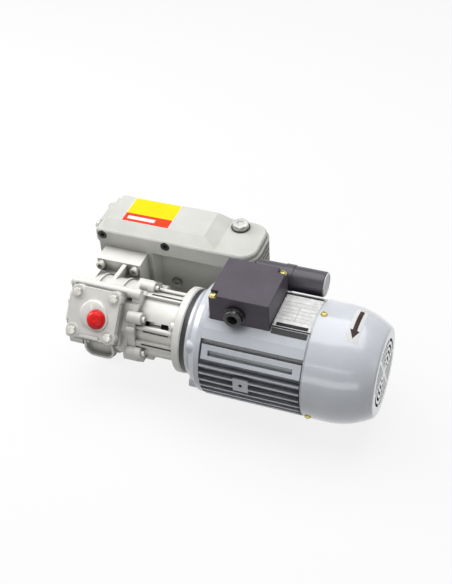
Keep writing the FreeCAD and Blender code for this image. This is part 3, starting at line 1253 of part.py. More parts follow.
def build_filter():
    """The exhaust filter in the box, pressed against the partition by a bowed flat spring."""
    joint = s.box_left - s.end_gasket
    left = joint + s.clip_bow
    body = new_body("exhaust_filter")
    tube = circle(new_sketch(body, "YZ_Plane", left), s.filter_radius, s.filter_y, s.filter_z)
    pad(body, tube, s.partition_x - left)
    inner = s.filter_radius - s.filter_wall
    core = circle(new_sketch(body, "YZ_Plane", s.partition_x), inner, s.filter_y, s.filter_z)
    pocket(body, core, s.partition_x - left - s.filter_wall)
    seat(body)
    clip = new_body("filter_clip")
    thick, flat, hook, half = s.clip_thick, s.clip_flat, s.clip_hook, s.clip_half
    z = s.filter_z
    strip = [(joint, z - half), (joint + thick, z - half), (left, z - flat), (left, z + flat),
             (joint + thick, z + half), (joint, z + half), (joint, z + half - hook), (left - thick, z),
             (joint, z - half + hook)]
    sketch = outline(new_sketch(clip, "XZ_Plane", -s.filter_y), strip)
    pad(clip, sketch, s.clip_wide, both=True)
    seat(clip)


def build_plugs():
    """Filler plug and washer on top, drain plug and sight glass on the end, plug in the front wall."""
    washer = new_body("filler_washer")
    ring = circle(circle(new_sketch(washer, "XY_Plane", s.box_top), s.washer_radius, s.plug_x, s.plug_y),
                  s.plug_thread + s.clearance, s.plug_x, s.plug_y)
    pad(washer, ring, s.washer_thick)
    seat(washer)
    build_plug("filler_plug", vector(s.plug_x, s.plug_y, s.box_top + s.washer_thick), UP,
               s.plug_flats, s.plug_tall, s.plug_thread, s.plug_deep)
    build_plug("wall_plug", vector(s.wall_plug_x, wall_front, s.wall_plug_z), FRONT,
               s.wall_plug_flats, s.wall_plug_tall, s.wall_plug_radius, s.shell_wall)
    build_plug("drain_plug", vector(s.box_right, s.drain_y, s.drain_z), RIGHT,
               s.drain_flats, s.drain_tall, s.drain_radius, s.shell_wall)
    place = vector(s.box_right, s.sight_y, s.sight_z)
    ring = rod(place, RIGHT, s.sight_radius, s.sight_proud)
    stem = rod(place, LEFT, s.sight_bore, s.shell_wall)
    seat(loose_shape("sight_glass", ring.fuse(stem).removeSplitter()))


def build_plug(label, place, out, flats, tall, radius, deep):
    """A screwed plug with a hexagonal head."""
    head = hexagon(place, out, number_of(flats), number_of(tall))
    shank = rod(place, -out, radius, deep)
    seat(loose_shape(label, head.fuse(shank).removeSplitter()))


def build_feet():
    """Two cross rails under the box, each on two rubber feet with a bolt hole through both."""
    places = []
    for side in (-HALF, HALF):
        for end in (-HALF, HALF):
            places.append((side * s.foot_span_x - s.joint_x, s.shaft_to_box + end * s.foot_span_y))
    for label, pair_of in (("left_foot_rail", places[:2]), ("right_foot_rail", places[2:])):
        body = new_body(label)
        x, front = pair_of[0]
        back = pair_of[1][1]
        half = s.rail_wide * HALF
        plan = rectangle(x - half, x + half, front - s.rail_over, back + s.rail_over)
        pad(body, outline(new_sketch(body, "XY_Plane", rail_low), plan), s.rail_thick)
        blend(body, s.rail_corner, lambda edge: runs(edge, 2))
        for u, v in pair_of:
            pocket(body, circle(new_sketch(body, "XY_Plane", box_low), s.foot_hole, u, v), s.rail_thick)
        seat(body)
    feet = []
    for u, v in places:
        start = vector(u, v, floor_z)
        feet.append(rod(start, UP, s.foot_radius, s.foot_thick).cut(rod(start, UP, s.foot_hole, s.foot_thick)))
    seat(loose_shape("rubber_feet", Part.makeCompound(feet)))


build_feet()
build_separator()
build_box_end()
build_filter()
build_plugs()
build_cylinder()
build_end_covers()
build_rotor()
build_inlet()
build_lantern()
build_coupling()
build_flange_ring()
build_drive_shield()
build_motor_frame()
build_motor_inside()
build_rear_shield()
build_fan()
build_fan_cover()
build_terminal_box()
build_gland()
build_capacitor()
for group in (lantern_screws, flange_screws, cover_screws, mount_screws, plate_bolts, grille_screws,
              box_cover_screws, band_screws):
    group.build()

doc.recompute()
faults = [thing.Label for thing in doc.Objects if {"Invalid", "Error"} & set(thing.State)]
faults += [thing.Label for thing in parts if thing.Shape.isNull() or not thing.Shape.isValid()]
if faults:
    raise RuntimeError(f"not built: {faults}")
for thing in parts:
    thing.Shape.exportStep(f"parts/{thing.Label}.step")
print(len(parts), "sub-parts")
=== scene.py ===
import json
from math import atan2, cos, degrees, pi, radians, sin

import bmesh
import bpy
from mathutils import Matrix, Vector


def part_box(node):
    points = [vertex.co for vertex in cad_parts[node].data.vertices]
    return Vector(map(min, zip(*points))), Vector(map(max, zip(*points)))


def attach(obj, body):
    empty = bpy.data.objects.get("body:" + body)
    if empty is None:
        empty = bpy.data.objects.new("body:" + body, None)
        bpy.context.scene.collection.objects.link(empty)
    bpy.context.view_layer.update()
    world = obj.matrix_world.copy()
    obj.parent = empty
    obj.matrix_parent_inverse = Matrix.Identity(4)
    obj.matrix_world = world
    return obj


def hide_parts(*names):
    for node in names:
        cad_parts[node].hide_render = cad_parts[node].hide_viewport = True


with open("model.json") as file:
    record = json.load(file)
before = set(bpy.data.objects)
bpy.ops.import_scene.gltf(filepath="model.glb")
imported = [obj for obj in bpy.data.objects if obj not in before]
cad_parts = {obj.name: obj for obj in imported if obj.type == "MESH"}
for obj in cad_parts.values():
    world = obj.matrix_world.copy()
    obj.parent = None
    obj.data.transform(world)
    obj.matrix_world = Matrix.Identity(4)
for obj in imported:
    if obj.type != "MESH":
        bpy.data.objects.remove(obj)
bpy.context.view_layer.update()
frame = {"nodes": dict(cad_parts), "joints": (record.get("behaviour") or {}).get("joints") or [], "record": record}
NODES = frame["nodes"]
JOINTS = {joint["name"]: joint for joint in frame["joints"]}

# The frame is in metres, and a piece is modelled in millimetres at the origin and then seated
MM = 0.001

# The shaft's axis where lantern and motor meet, in whole millimetres, and the ways that faces look
SHAFT = Vector([round(value / MM) for value in JOINTS["shaft_spin"]["pos_m"]]) * MM
RIGHT, LEFT = Vector((1, 0, 0)), Vector((-1, 0, 0))
FRONT, UP = Vector((0, -1, 0)), Vector((0, 0, 1))

# The inlet's axis leans up from the front by whole degrees
INLET_AXIS = JOINTS["inlet_cap_pull"]["axis"]
INLET_TILT = radians(round(degrees(atan2(INLET_AXIS[2], -INLET_AXIS[1]))))
INLET_OUT = Vector((0, -cos(INLET_TILT), sin(INLET_TILT)))
INLET_UP = Vector((0, sin(INLET_TILT), cos(INLET_TILT)))


def shaft_point(x, y, z):
    """A point given in millimetres from the shaft's joint, in the frame's metres."""
    return SHAFT + Vector((x, y, z)) * MM


def inlet_point(x, up, out):
    """A point in front of the tilted inlet: along the shaft, up the pad and out from the shaft."""
    return SHAFT + (RIGHT * x + INLET_UP * up + INLET_OUT * out) * MM


def round_shaft(x, radius, angle, drop=0.0):
    """A point round the shaft or an axis below it, its angle in degrees from the front, upwards."""
    return shaft_point(x, -radius * cos(radians(angle)), radius * sin(radians(angle)) - drop)


def outwards(angle):
    """The way out from the shaft at an angle."""
    return (round_shaft(0, 1, angle) - SHAFT).normalized()


def corners(node):
    """A CAD node's lowest and highest corners, from the shaft's joint, to 0.01 mm."""
    return [Vector([round(value, 2) for value in (corner - SHAFT) / MM]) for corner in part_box(node)]


def centre(node):
    """The middle of a CAD node's box, in millimetres from the shaft's joint."""
    low, high = corners(node)
    return (low + high) / 2


# Materials

# The palest that an edge lightened by wear and by a painted highlight may be
PALEST = 0.85


def new_material(name):
    """A material with its Principled shader and the object's own coordinates."""
    made = bpy.data.materials.new(name)
    made.use_nodes = True
    tree = made.node_tree
    shader = tree.nodes["Principled BSDF"]
    place = tree.nodes.new("ShaderNodeTexCoord")
    return made, tree, shader, place.outputs["Object"]


def noise(tree, place, scale, detail=3.0, roughness=0.6):
    """A noise texture's grey output on the object's coordinates, its scale in waves to the metre."""
    made = tree.nodes.new("ShaderNodeTexNoise")
    made.inputs["Scale"].default_value = scale
    made.inputs["Detail"].default_value = detail
    made.inputs["Roughness"].default_value = roughness
    tree.links.new(place, made.inputs["Vector"])
    return made.outputs["Fac"]


def ramp(tree, value, stops):
    """A colour ramp over (position, colour) stops."""
    made = tree.nodes.new("ShaderNodeValToRGB")
    edge = made.color_ramp
    while len(edge.elements) < len(stops):
        edge.elements.new(0.5)
    for element, (position, color) in zip(edge.elements, stops):
        element.position = position
        element.color = (*color, 1)
    tree.links.new(value, made.inputs["Fac"])
    return made.outputs["Color"]


def spread(tree, value, low, high, start=0.0, end=1.0):
    """A grey value from start to end mapped to the range from low to high."""
    made = tree.nodes.new("ShaderNodeMapRange")
    made.inputs["From Min"].default_value = start
    made.inputs["From Max"].default_value = end
    made.inputs["To Min"].default_value = low
    made.inputs["To Max"].default_value = high
    tree.links.new(value, made.inputs["Value"])
    return made.outputs["Result"]


def combined(tree, operation, first, second):
    """Two grey values through one Math node."""
    made = tree.nodes.new("ShaderNodeMath")
    made.operation = operation
    tree.links.new(first, made.inputs[0])
    tree.links.new(second, made.inputs[1])
    return made.outputs[0]


def mixed(tree, factor, under, color):
    """A colour laid over another where the factor is high."""
    factor_in, under_in, over_in, color_out = 0, 6, 7, 2
    made = tree.nodes.new("ShaderNodeMix")
    made.data_type = "RGBA"
    tree.links.new(factor, made.inputs[factor_in])
    tree.links.new(under, made.inputs[under_in])
    made.inputs[over_in].default_value = (*color, 1)
    return made.outputs[color_out]


def rounded_edges(tree, radius):
    """A normal that rounds sharp edges, and a grey mask of those edges."""
    made = tree.nodes.new("ShaderNodeBevel")
    made.samples = 6
    made.inputs["Radius"].default_value = radius
    flat = tree.nodes.new("ShaderNodeNewGeometry")
    dot = tree.nodes.new("ShaderNodeVectorMath")
    dot.operation = "DOT_PRODUCT"
    tree.links.new(made.outputs["Normal"], dot.inputs[0])
    tree.links.new(flat.outputs["Normal"], dot.inputs[1])
    edges = spread(tree, dot.outputs["Value"], 1.0, 0.0, start=0.88, end=0.985)
    return made.outputs["Normal"], edges


def hollows(tree, reach):
    """A grey mask of corners and hollows, where shade is painted into the colour."""
    made = tree.nodes.new("ShaderNodeAmbientOcclusion")
    made.samples = 6
    made.inputs["Distance"].default_value = reach
    return spread(tree, made.outputs["AO"], 1.0, 0.0, start=0.25, end=0.9)


def bump(tree, shader, normal, *layers):
    """A chain of bumps on a normal, each layer a height with its strength and depth."""
    for height, power, depth in layers:
        made = tree.nodes.new("ShaderNodeBump")
        made.inputs["Strength"].default_value = power
        made.inputs["Distance"].default_value = depth
        tree.links.new(height, made.inputs["Height"])
        if normal is not None:
            tree.links.new(normal, made.inputs["Normal"])
        normal = made.outputs["Normal"]
    tree.links.new(normal, shader.inputs["Normal"])


def set_gloss(tree, shader, grain, low, high):
    """Roughness that wanders between two values with a grain."""
    tree.links.new(spread(tree, grain, low, high), shader.inputs["Roughness"])


def tinted(color, factor):
    """A colour made darker or lighter by a factor."""
    return tuple(c * factor for c in color)


def painted(name, color, gloss=0.4, grain=900.0, depth=0.00006, coat=0.0, metal=0.0, mottle=0.06,
            edge=0.0008, bright=1.5, hollow_shade_strength=0.6, shine=0.5, reach=0.016):
    """Paint over metal: mottled colour and gloss, edges lightened by wear and by a painted highlight, painted
    shade in the corners, cast grain.
    """
    made, tree, shader, place = new_material(name)
    clouds, dust, chips, sheen, dents = 18.0, 150.0, 220.0, 60.0, 90.0
    cloud = noise(tree, place, clouds, 4.0)
    paint = ramp(tree, cloud, [(0.3, tinted(color, 1 - mottle)), (0.7, tinted(color, 1 + mottle))])
    # Painted shade: corners and hollows darken towards a tenth of the colour, in patches like dust
    patches = spread(tree, noise(tree, place, dust, 4.0), hollow_shade_strength * 0.7, hollow_shade_strength)
    shade_in_hollows = combined(tree, "MULTIPLY", hollows(tree, reach), patches)
    paint = mixed(tree, shade_in_hollows, paint, tinted(color, 0.1))
    soft, edges = rounded_edges(tree, edge)
    # Edges lightened in patches: partly paint wear, partly a painted highlight along them
    patches = spread(tree, noise(tree, place, chips), 0.0, 0.8, start=0.35, end=0.6)
    worn_and_highlit = combined(tree, "MULTIPLY", edges, patches)
    paint = mixed(tree, worn_and_highlit, paint, tuple(min(c * bright, PALEST) for c in color))
    tree.links.new(paint, shader.inputs["Base Color"])
    set_gloss(tree, shader, noise(tree, place, sheen, 5.0), gloss - 0.06, gloss + 0.08)
    shader.inputs["Metallic"].default_value = metal
    shader.inputs["Specular IOR Level"].default_value = shine
    shader.inputs["Coat Weight"].default_value = coat
    shader.inputs["Coat Roughness"].default_value = 0.15
    bump(tree, shader, soft, (noise(tree, place, grain, 4.0), 0.4, depth),
         (noise(tree, place, dents), 0.3, depth * 4))
    return made


def bare_metal(name, color, gloss=0.3, metal=1.0, edge=0.0003, reach=0.004):
    """Bare or plated metal with stains, fine scratches and painted shade in its corners."""
    made, tree, shader, place = new_material(name)
    stains, sheen, scratches = 140.0, 400.0, 1500.0
    stain = noise(tree, place, stains, 4.0)
    surface = ramp(tree, stain, [(0.3, tinted(color, 0.75)), (0.7, tinted(color, 1.05))])
    # Painted shade: the corners darken towards a dark tint of the metal
    shade_in_hollows = spread(tree, hollows(tree, reach), 0.0, 0.6)
    surface = mixed(tree, shade_in_hollows, surface, tinted(color, 0.15))
    tree.links.new(surface, shader.inputs["Base Color"])
    set_gloss(tree, shader, noise(tree, place, sheen), gloss - 0.08, gloss + 0.12)
    shader.inputs["Metallic"].default_value = metal
    soft, _ = rounded_edges(tree, edge)
    bump(tree, shader, soft, (noise(tree, place, scratches, 2.0), 0.2, 0.00003))
    return made


def moulded(name, color, gloss=0.45, grain=1600.0, depth=0.00005, coat=0.0, edge=0.0005, shine=0.5):
    """Moulded plastic or rubber with a fine spark-eroded grain, a little dust and a painted highlight along its
    edges.
    """
    made, tree, shader, place = new_material(name)
    specks, sheen = 35.0, 240.0
    dust = noise(tree, place, specks, 5.0)
    surface = ramp(tree, dust, [(0.35, tinted(color, 0.88)), (0.75, tinted(color, 1.15))])
    soft, edges = rounded_edges(tree, edge)
    # Painted highlight: the edges are lightened towards almost twice the colour
    surface = mixed(tree, spread(tree, edges, 0.0, 0.35), surface, tinted(color, 1.8))
    tree.links.new(surface, shader.inputs["Base Color"])
    set_gloss(tree, shader, noise(tree, place, sheen), gloss - 0.07, gloss + 0.1)
    shader.inputs["Specular IOR Level"].default_value = shine
    shader.inputs["Coat Weight"].default_value = coat
    shader.inputs["Coat Roughness"].default_value = 0.08
    bump(tree, shader, soft, (noise(tree, place, grain, 2.0), 0.4, depth))
    return made


def printed(name, color, gloss=0.3):
    """Ink on a laminated film or a metal plate."""
    made, tree, shader, place = new_material(name)
    clouds, sheen, grain = 60.0, 300.0, 500.0
    cloud = noise(tree, place, clouds)
    film = ramp(tree, cloud, [(0.3, tinted(color, 0.93)), (0.7, color)])
    tree.links.new(film, shader.inputs["Base Color"])
    set_gloss(tree, shader, noise(tree, place, sheen, 2.0), gloss - 0.05, gloss + 0.08)
    shader.inputs["Specular IOR Level"].default_value = 0.15
    bump(tree, shader, None, (noise(tree, place, grain, 2.0), 0.15, 0.00002))
    return made


def oil_behind_glass(name, level):
    """The window of the sight glass: amber oil below a level and clear above it."""
    amber, clear, blur, sheen = (0.42, 0.17, 0.015), (0.42, 0.43, 0.42), 0.4 * MM, 90.0
    made, tree, shader, place = new_material(name)
    axis = tree.nodes.new("ShaderNodeSeparateXYZ")
    tree.links.new(place, axis.inputs[0])
    above = spread(tree, axis.outputs["Z"], 0.0, 1.0, start=level - blur, end=level + blur)
    tree.links.new(ramp(tree, above, [(0.0, amber), (1.0, clear)]), shader.inputs["Base Color"])
    set_gloss(tree, shader, noise(tree, place, sheen, 2.0), 0.05, 0.1)
    shader.inputs["Coat Weight"].default_value = 1.0
    shader.inputs["Coat Roughness"].default_value = 0.02
    return made


# Each paint darkens its corners and hollows with painted shade, at its strength and reach; the box and the rough
# castings reach furthest
SILVER = painted("silver_casting_paint", (0.84, 0.83, 0.79), gloss=0.38, grain=700.0,
                 depth=0.0002, metal=0.1, hollow_shade_strength=1.0, bright=1.15, reach=0.009)
ROUGH_SILVER = painted("rough_casting_paint", (0.84, 0.83, 0.79), gloss=0.42, grain=500.0,
                       depth=0.0003, metal=0.1, mottle=0.08, hollow_shade_strength=1.0, bright=1.15, reach=0.016)
BOX_PAINT = painted("warm_grey_box_paint", (0.70, 0.70, 0.66), gloss=0.5, grain=420.0,
                    depth=0.00012, shine=0.2, hollow_shade_strength=0.9, bright=1.15, reach=0.024)
MOTOR_PAINT = painted("motor_gloss_paint", (0.69, 0.72, 0.78), gloss=0.24, grain=150.0,
                      depth=0.00003, coat=0.6, hollow_shade_strength=1.0, edge=0.0012, bright=1.35)
COVER_PAINT = painted("fan_cover_gloss_paint", (0.71, 0.74, 0.80), gloss=0.22, grain=120.0,
                      depth=0.00002, coat=1.0, hollow_shade_strength=0.8, edge=0.0005, bright=1.2)
RAIL_PAINT = painted("rail_paint", (0.30, 0.30, 0.29), gloss=0.5)
BLACK_PAINT = painted("joint_ring_black", (0.016, 0.016, 0.018), gloss=0.4, bright=2.0)
BLACK_PLASTIC = moulded("terminal_box_plastic", (0.086, 0.074, 0.094), gloss=0.42, shine=0.3)
GLOSSY_PLASTIC = moulded("gland_plastic", (0.010, 0.009, 0.011), gloss=0.2, coat=0.2)
SLEEVE = moulded("capacitor_sleeve", (0.050, 0.043, 0.057), gloss=0.3, grain=300.0,
                 depth=0.00001, coat=0.1)
PALE_PLASTIC = moulded("capacitor_end_plastic", (0.82, 0.80, 0.80), gloss=0.45)
FAN_PLASTIC = moulded("fan_plastic", (0.05, 0.05, 0.055), gloss=0.6)
RUBBER = moulded("foot_rubber", (0.02, 0.02, 0.02), gloss=0.75, grain=700.0, depth=0.0001)
RED_PLASTIC = moulded("red_cap_plastic", (0.95, 0.006, 0.006), gloss=0.16, grain=250.0,
                      depth=0.00001, shine=0.25)
PLATED = bare_metal("zinc_plated_steel", (0.66, 0.65, 0.61), gloss=0.3)
NICKEL = bare_metal("nickel_plug", (0.62, 0.62, 0.59), gloss=0.42, metal=0.5)
# A darker copy of the plug steel: painted shade for the wall plug, which sits in shadow under the band
SHADED_PLUG_STEEL = bare_metal("shaded_plug_steel", (0.26, 0.26, 0.25), gloss=0.42, metal=0.5)
BLACKENED = bare_metal("blackened_screws", (0.06, 0.06, 0.06), gloss=0.35, metal=0.5)
GROUND = bare_metal("ground_steel", (0.60, 0.60, 0.60), gloss=0.22)
BRASS = bare_metal("brass_screws", (0.58, 0.50, 0.19), gloss=0.3)
COPPER = bare_metal("copper_windings", (0.72, 0.33, 0.12), gloss=0.35)
PLATE_METAL = bare_metal("nameplate_aluminium", (0.88, 0.88, 0.87), gloss=0.35, metal=0.1)
GASKET = moulded("gasket_fibre", (0.06, 0.058, 0.055), gloss=0.8)
GREY_GASKET = moulded("grey_gasket_fibre", (0.30, 0.30, 0.28), gloss=0.8)
FELT = moulded("filter_felt", (0.55, 0.52, 0.44), gloss=0.95, grain=500.0, depth=0.0004)
YELLOW_INK = printed("label_yellow", (0.93, 0.82, 0.004))
RED_INK = printed("label_red", (0.86, 0.06, 0.02))
WHITE_INK = printed("label_white", (0.94, 0.94, 0.93))
BLACK_INK = printed("label_black", (0.02, 0.02, 0.02))
BROWN_INK = printed("arrow_brown", (0.045, 0.022, 0.018))
GREY_INK = printed("rule_grey", (0.32, 0.31, 0.31))

# The oil stands a little above the middle of the sight glass
OIL_ABOVE_MIDDLE = 2
SIGHT_GLASS = centre("sight_glass")
OIL_WINDOW = oil_behind_glass("oil_window", shaft_point(*SIGHT_GLASS).z + OIL_ABOVE_MIDDLE * MM)

FINISH = {
    "cast_paint": SILVER, "box_paint": BOX_PAINT, "rail_paint": RAIL_PAINT,
    "motor_paint": MOTOR_PAINT, "motor_body": MOTOR_PAINT, "cover_sheet": COVER_PAINT,
    "black_plastic": BLACK_PLASTIC, "fan_plastic": FAN_PLASTIC, "black_rubber": RUBBER,
    "gasket_paper": GASKET, "ring_steel": BLACK_PAINT, "plated_steel": PLATED, "brass": BRASS,
    "red_plastic": RED_PLASTIC, "machined_steel": GROUND, "bronze": BRASS,
    "cast_iron_hub": GROUND, "copper_winding": COPPER, "filter_felt": FELT,
    "vane_fibre": FAN_PLASTIC,
}
OWN_FINISH = {
    "capacitor": SLEEVE, "capacitor_clamp": SLEEVE, "cable_gland": GLOSSY_PLASTIC,
    "filler_washer": GASKET, "inlet_gasket": GREY_GASKET, "pump_cylinder": ROUGH_SILVER,
    "right_end_cover": ROUGH_SILVER,
}
for part in frame["record"]["subparts"]:
    name = part["node"]
    NODES[name].data.materials.clear()
    NODES[name].data.materials.append(OWN_FINISH.get(name, FINISH[part["material_slot"]]))

# Work at the bench

# The screws of a set stand at different angles: the first one's turn and the step to the next
FIRST_TURN, NEXT_TURN = 0.35, 1.1


def put_down():
    """Leaves edit mode and selects nothing."""
    if bpy.context.mode != "OBJECT":
        bpy.ops.object.mode_set(mode="OBJECT")
    bpy.ops.object.select_all(action="DESELECT")


def take(piece):
    """Selects one piece alone."""
    put_down()
    piece.select_set(True)
    bpy.context.view_layer.objects.active = piece


def started(name):
    """The active piece, under its name."""
    piece = bpy.context.object
    piece.name = name
    piece.data.name = name
    return piece


def open_up(piece):
    """Opens a piece in edit mode, to be worked on by its points."""
    take(piece)
    bpy.ops.object.mode_set(mode="EDIT")
    bpy.ops.mesh.select_mode(type="VERT")


def choose(piece, kind, test):
    """Selects the points, edges or faces of the open piece that pass a test."""
    bpy.ops.mesh.select_mode(type=kind)
    bpy.ops.mesh.select_all(action="DESELECT")
    mesh = bmesh.from_edit_mesh(piece.data)
    for item in {"VERT": mesh.verts, "EDGE": mesh.edges, "FACE": mesh.faces}[kind]:
        if test(item):
            item.select_set(True)
    mesh.select_flush_mode()
    bmesh.update_edit_mesh(piece.data)


def apply_all(piece):
    """Applies the piece's modifiers in their order."""
    take(piece)
    for made in list(piece.modifiers):
        bpy.ops.object.modifier_apply(modifier=made.name)


def soften(piece, width, segments=2, angle=35):
    """Rounds the edges that are sharper than an angle in degrees."""
    made = piece.modifiers.new("edge", "BEVEL")
    made.width = width
    made.segments = segments
    made.limit_method = "ANGLE"
    made.angle_limit = radians(angle)
    apply_all(piece)


def shape_with(piece, tool, way="DIFFERENCE"):
    """Cuts a piece by a tool, adds the tool or keeps what they share, and puts the tool away."""
    made = piece.modifiers.new("tool", "BOOLEAN")
    made.operation = way
    made.object = tool
    made.solver = "EXACT"
    apply_all(piece)
    bpy.data.objects.remove(tool)


def thicken(piece, thick):
    """Gives a sheet its thickness, upwards from its face."""
    made = piece.modifiers.new("sheet", "SOLIDIFY")
    made.thickness = thick
    made.offset = 1.0
    apply_all(piece)


def twin_of(piece):
    """A copy of a piece with its own mesh."""
    twin = piece.copy()
    twin.data = piece.data.copy()
    bpy.context.scene.collection.objects.link(twin)
    return twin


def join(first, *others):
    """Makes several pieces one."""
    take(first)
    for other in others:
        other.select_set(True)
    bpy.ops.object.join()
    return first


def turned(name, profile, steps=48):
    """A turned piece about the z axis: a line of points (radius, height) spun all the way round."""
    put_down()
    bpy.ops.mesh.primitive_plane_add(size=1)
    piece = started(name)
    open_up(piece)
    bpy.ops.mesh.select_all(action="SELECT")
    bpy.ops.mesh.merge(type="CENTER")
    bpy.ops.transform.translate(value=(profile[0][0], 0, profile[0][1]))
    for (r0, z0), (r1, z1) in zip(profile, profile[1:]):
        bpy.ops.mesh.extrude_region_move(TRANSFORM_OT_translate={"value": (r1 - r0, 0, z1 - z0)})
    bpy.ops.mesh.select_all(action="SELECT")
    bpy.ops.mesh.spin(steps=steps, angle=2 * pi, center=(0, 0, 0), axis=(0, 0, 1))
    bpy.ops.mesh.select_all(action="SELECT")
    bpy.ops.mesh.remove_doubles(threshold=0.001)
    bpy.ops.mesh.normals_make_consistent(inside=False)
    put_down()
    return piece


def disc(name, radius, thick, lip, steps=48):
    """A round disc, the rim of its top chamfered by a lip."""
    outline = [(0, 0), (radius, 0), (radius, thick - lip), (radius - lip, thick), (0, thick)]
    return turned(name, outline, steps)


def block(name, low, high):
    """A box between two corners."""
    put_down()
    middle = (Vector(low) + Vector(high)) / 2
    bpy.ops.mesh.primitive_cube_add(size=1, location=middle, scale=Vector(high) - Vector(low))
    bpy.ops.object.transform_apply(location=True, rotation=False, scale=True)
    return started(name)


def prism(name, flats, low, high, sides=6):
    """A prism by its width across flats, from one height to another."""
    put_down()
    bpy.ops.mesh.primitive_cylinder_add(vertices=sides, radius=flats / 2 / cos(pi / sides),
                                        depth=high - low, location=(0, 0, (low + high) / 2))
    bpy.ops.object.transform_apply(location=True, rotation=False, scale=False)
    return started(name)


def plate(name, low, high, corner):
    """A flat sheet between two corners, its corners rounded."""
    put_down()
    middle = ((low[0] + high[0]) / 2, (low[1] + high[1]) / 2, 0)
    size = (high[0] - low[0], high[1] - low[1], 1)
    bpy.ops.mesh.primitive_plane_add(size=1, location=middle)
    bpy.ops.transform.resize(value=size, center_override=middle)
    bpy.ops.object.transform_apply(location=True, rotation=False, scale=True)
    piece = started(name)
    open_up(piece)
    bpy.ops.mesh.select_all(action="SELECT")
    bpy.ops.mesh.bevel(offset=corner, segments=5, affect="VERTICES")
    put_down()
    return piece


def rule(piece, axis, places):
    """Scores a flat sheet across at each place along an axis."""
    normal = Vector((1, 0, 0)) if axis == "x" else Vector((0, 1, 0))
    open_up(piece)
    for place in places:
        bpy.ops.mesh.select_all(action="SELECT")
        bpy.ops.mesh.bisect(plane_co=normal * place, plane_no=normal)
    put_down()


def ink(piece, materials, pick):
    """Gives each face of a sheet the ink that pick names for its middle."""
    piece.data.materials.clear()
    for material in materials:
        piece.data.materials.append(material)
    for face in piece.data.polygons:
        face.material_index = pick(face.center.x, face.center.y)


def shifted(piece, x=0, y=0):
    """Moves a piece's mesh aside while it is on the bench."""
    piece.data.transform(Matrix.Translation((x, y, 0)))
    return piece


def seated(piece, place, out, turn=0.0):
    """Puts a piece modelled at the origin where it goes: its foot at a place, its top outwards."""
    lie = out.to_track_quat("Z", "Y").to_matrix().to_4x4()
    spin = Matrix.Rotation(turn, 4, "Z")
    piece.data.transform(Matrix.Translation(place) @ lie @ spin @ Matrix.Scale(MM, 4))
    return piece


def laid(piece, height):
    """Lays a flat sheet, drawn in millimetres from the shaft's joint, at a height above it."""
    piece.data.transform(Matrix.Translation(shaft_point(0, 0, height)) @ Matrix.Scale(MM, 4))
    return piece


def wrap_down(piece, node, lift, thick):
    """Drops a fine flat sheet onto a node from above and gives it its thickness."""
    laid(piece, height=110)
    made = piece.modifiers.new("wrap", "SHRINKWRAP")
    made.target = NODES[node]
    made.wrap_method = "PROJECT"
    made.use_project_z = True
    made.use_negative_direction = True
    made.use_positive_direction = False
    made.offset = lift * MM
    apply_all(piece)
    thicken(piece, thick * MM)


def finish(piece, name, body, material=None, smooth=35):
    """Smooths a finished piece, names it and sets it riding on its body."""
    take(piece)
    bpy.ops.object.shade_smooth_by_angle(angle=radians(smooth))
    started(name)
    if material is not None:
        piece.data.materials.clear()
        piece.data.materials.append(material)
    put_down()
    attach(piece, body)
    return piece


def spread_out(model, places, name, material, node=None):
    """Copies of one screw or rivet at all places, as one set on the housing."""
    copies = []
    for number, (place, out) in enumerate(places):
        copies.append(seated(twin_of(model), place, out, FIRST_TURN + NEXT_TURN * number))
    made = finish(join(*copies), name, "housing", material)
    if node:
        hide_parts(node)
    return made


# Fasteners

# Heads, in millimetres: width and height
HEX_BOLT = (10, 3.9)
LANTERN_SCREW = (8.5, 5)
MOTOR_SCREW = (10, 6)
FOOT_SCREW = (13, 8)
BAND_SCREW = (13, 6)
COVER_SCREW = (7.4, 3.0)
LID_SCREW = (8.4, 3.4)

# Plugs, in millimetres: width across flats, height and, where it is given, the collar's height
FILLER_PLUG = (21, 6.4)
DRAIN_PLUG = (17, 6)
WALL_PLUG = (13, 4, 0.8)

# The bore, and with it the left end cover, lies this far below the shaft's axis
BORE_DROP = 4.95

# The inlet flange: its middle along the shaft, how far out from the shaft's axis it stands on its
# gasket, its thickness, and how far from its middle its bolts are
FLANGE_X = centre("inlet_flange").x
FLANGE_FOOT, FLANGE_THICK, FLANGE_BOLT = 56, 11.5, 26.5

# The inlet's port: where it is from the flange's middle, its height over the gasket and its radius
PORT_RIGHT, PORT_UP, PORT_TALL, PORT_RADIUS = 6.5, -5.5, 14, 12.1

BOX_LOW, BOX_HIGH = corners("separator_housing")
LANTERN_LOW, LANTERN_HIGH = corners("lantern")

# The thickness of the lantern's foot on the pump and of its flange at the motor
LANTERN_FOOT, LANTERN_FLANGE = 8, 12


def cone_off(head, flats, top, slope, face):
    """Turns the corners of a hexagon's top down to a cone that leaves a round face."""
    cone = turned("cone", [(0, 0), (flats, 0), (flats, top - slope), (face, top), (0, top)], steps=64)
    shape_with(head, cone, "INTERSECT")


def hex_head(flats, tall, washer=1.1):
    """A hexagon head with its conical chamfer, on a plain washer."""
    top = washer + tall
    head = prism("head", flats, washer * 0.5, top)
    cone_off(head, flats, top, slope=flats * 0.26, face=flats * 0.46)
    soften(head, 0.12, angle=30)
    return join(head, disc("ring", flats * 0.6, washer, lip=0.25, steps=40))


def socket_head(wide, tall):
    """A cap screw's head: a chamfered cylinder with a ribbed side and a hexagon socket."""
    smallest_side, rib = tall * 0.02, 0.12
    head = disc("head", wide / 2, tall, lip=0.7)
    open_up(head)
    choose(head, "FACE", lambda f: abs(f.normal.z) < 0.1 and f.calc_area() > smallest_side)
    bpy.ops.mesh.inset(thickness=rib, depth=-rib, use_individual=True)
    put_down()
    shape_with(head, prism("socket", wide * 0.5, tall * 0.45, tall + 1))
    soften(head, 0.08, segments=1, angle=50)
    return head


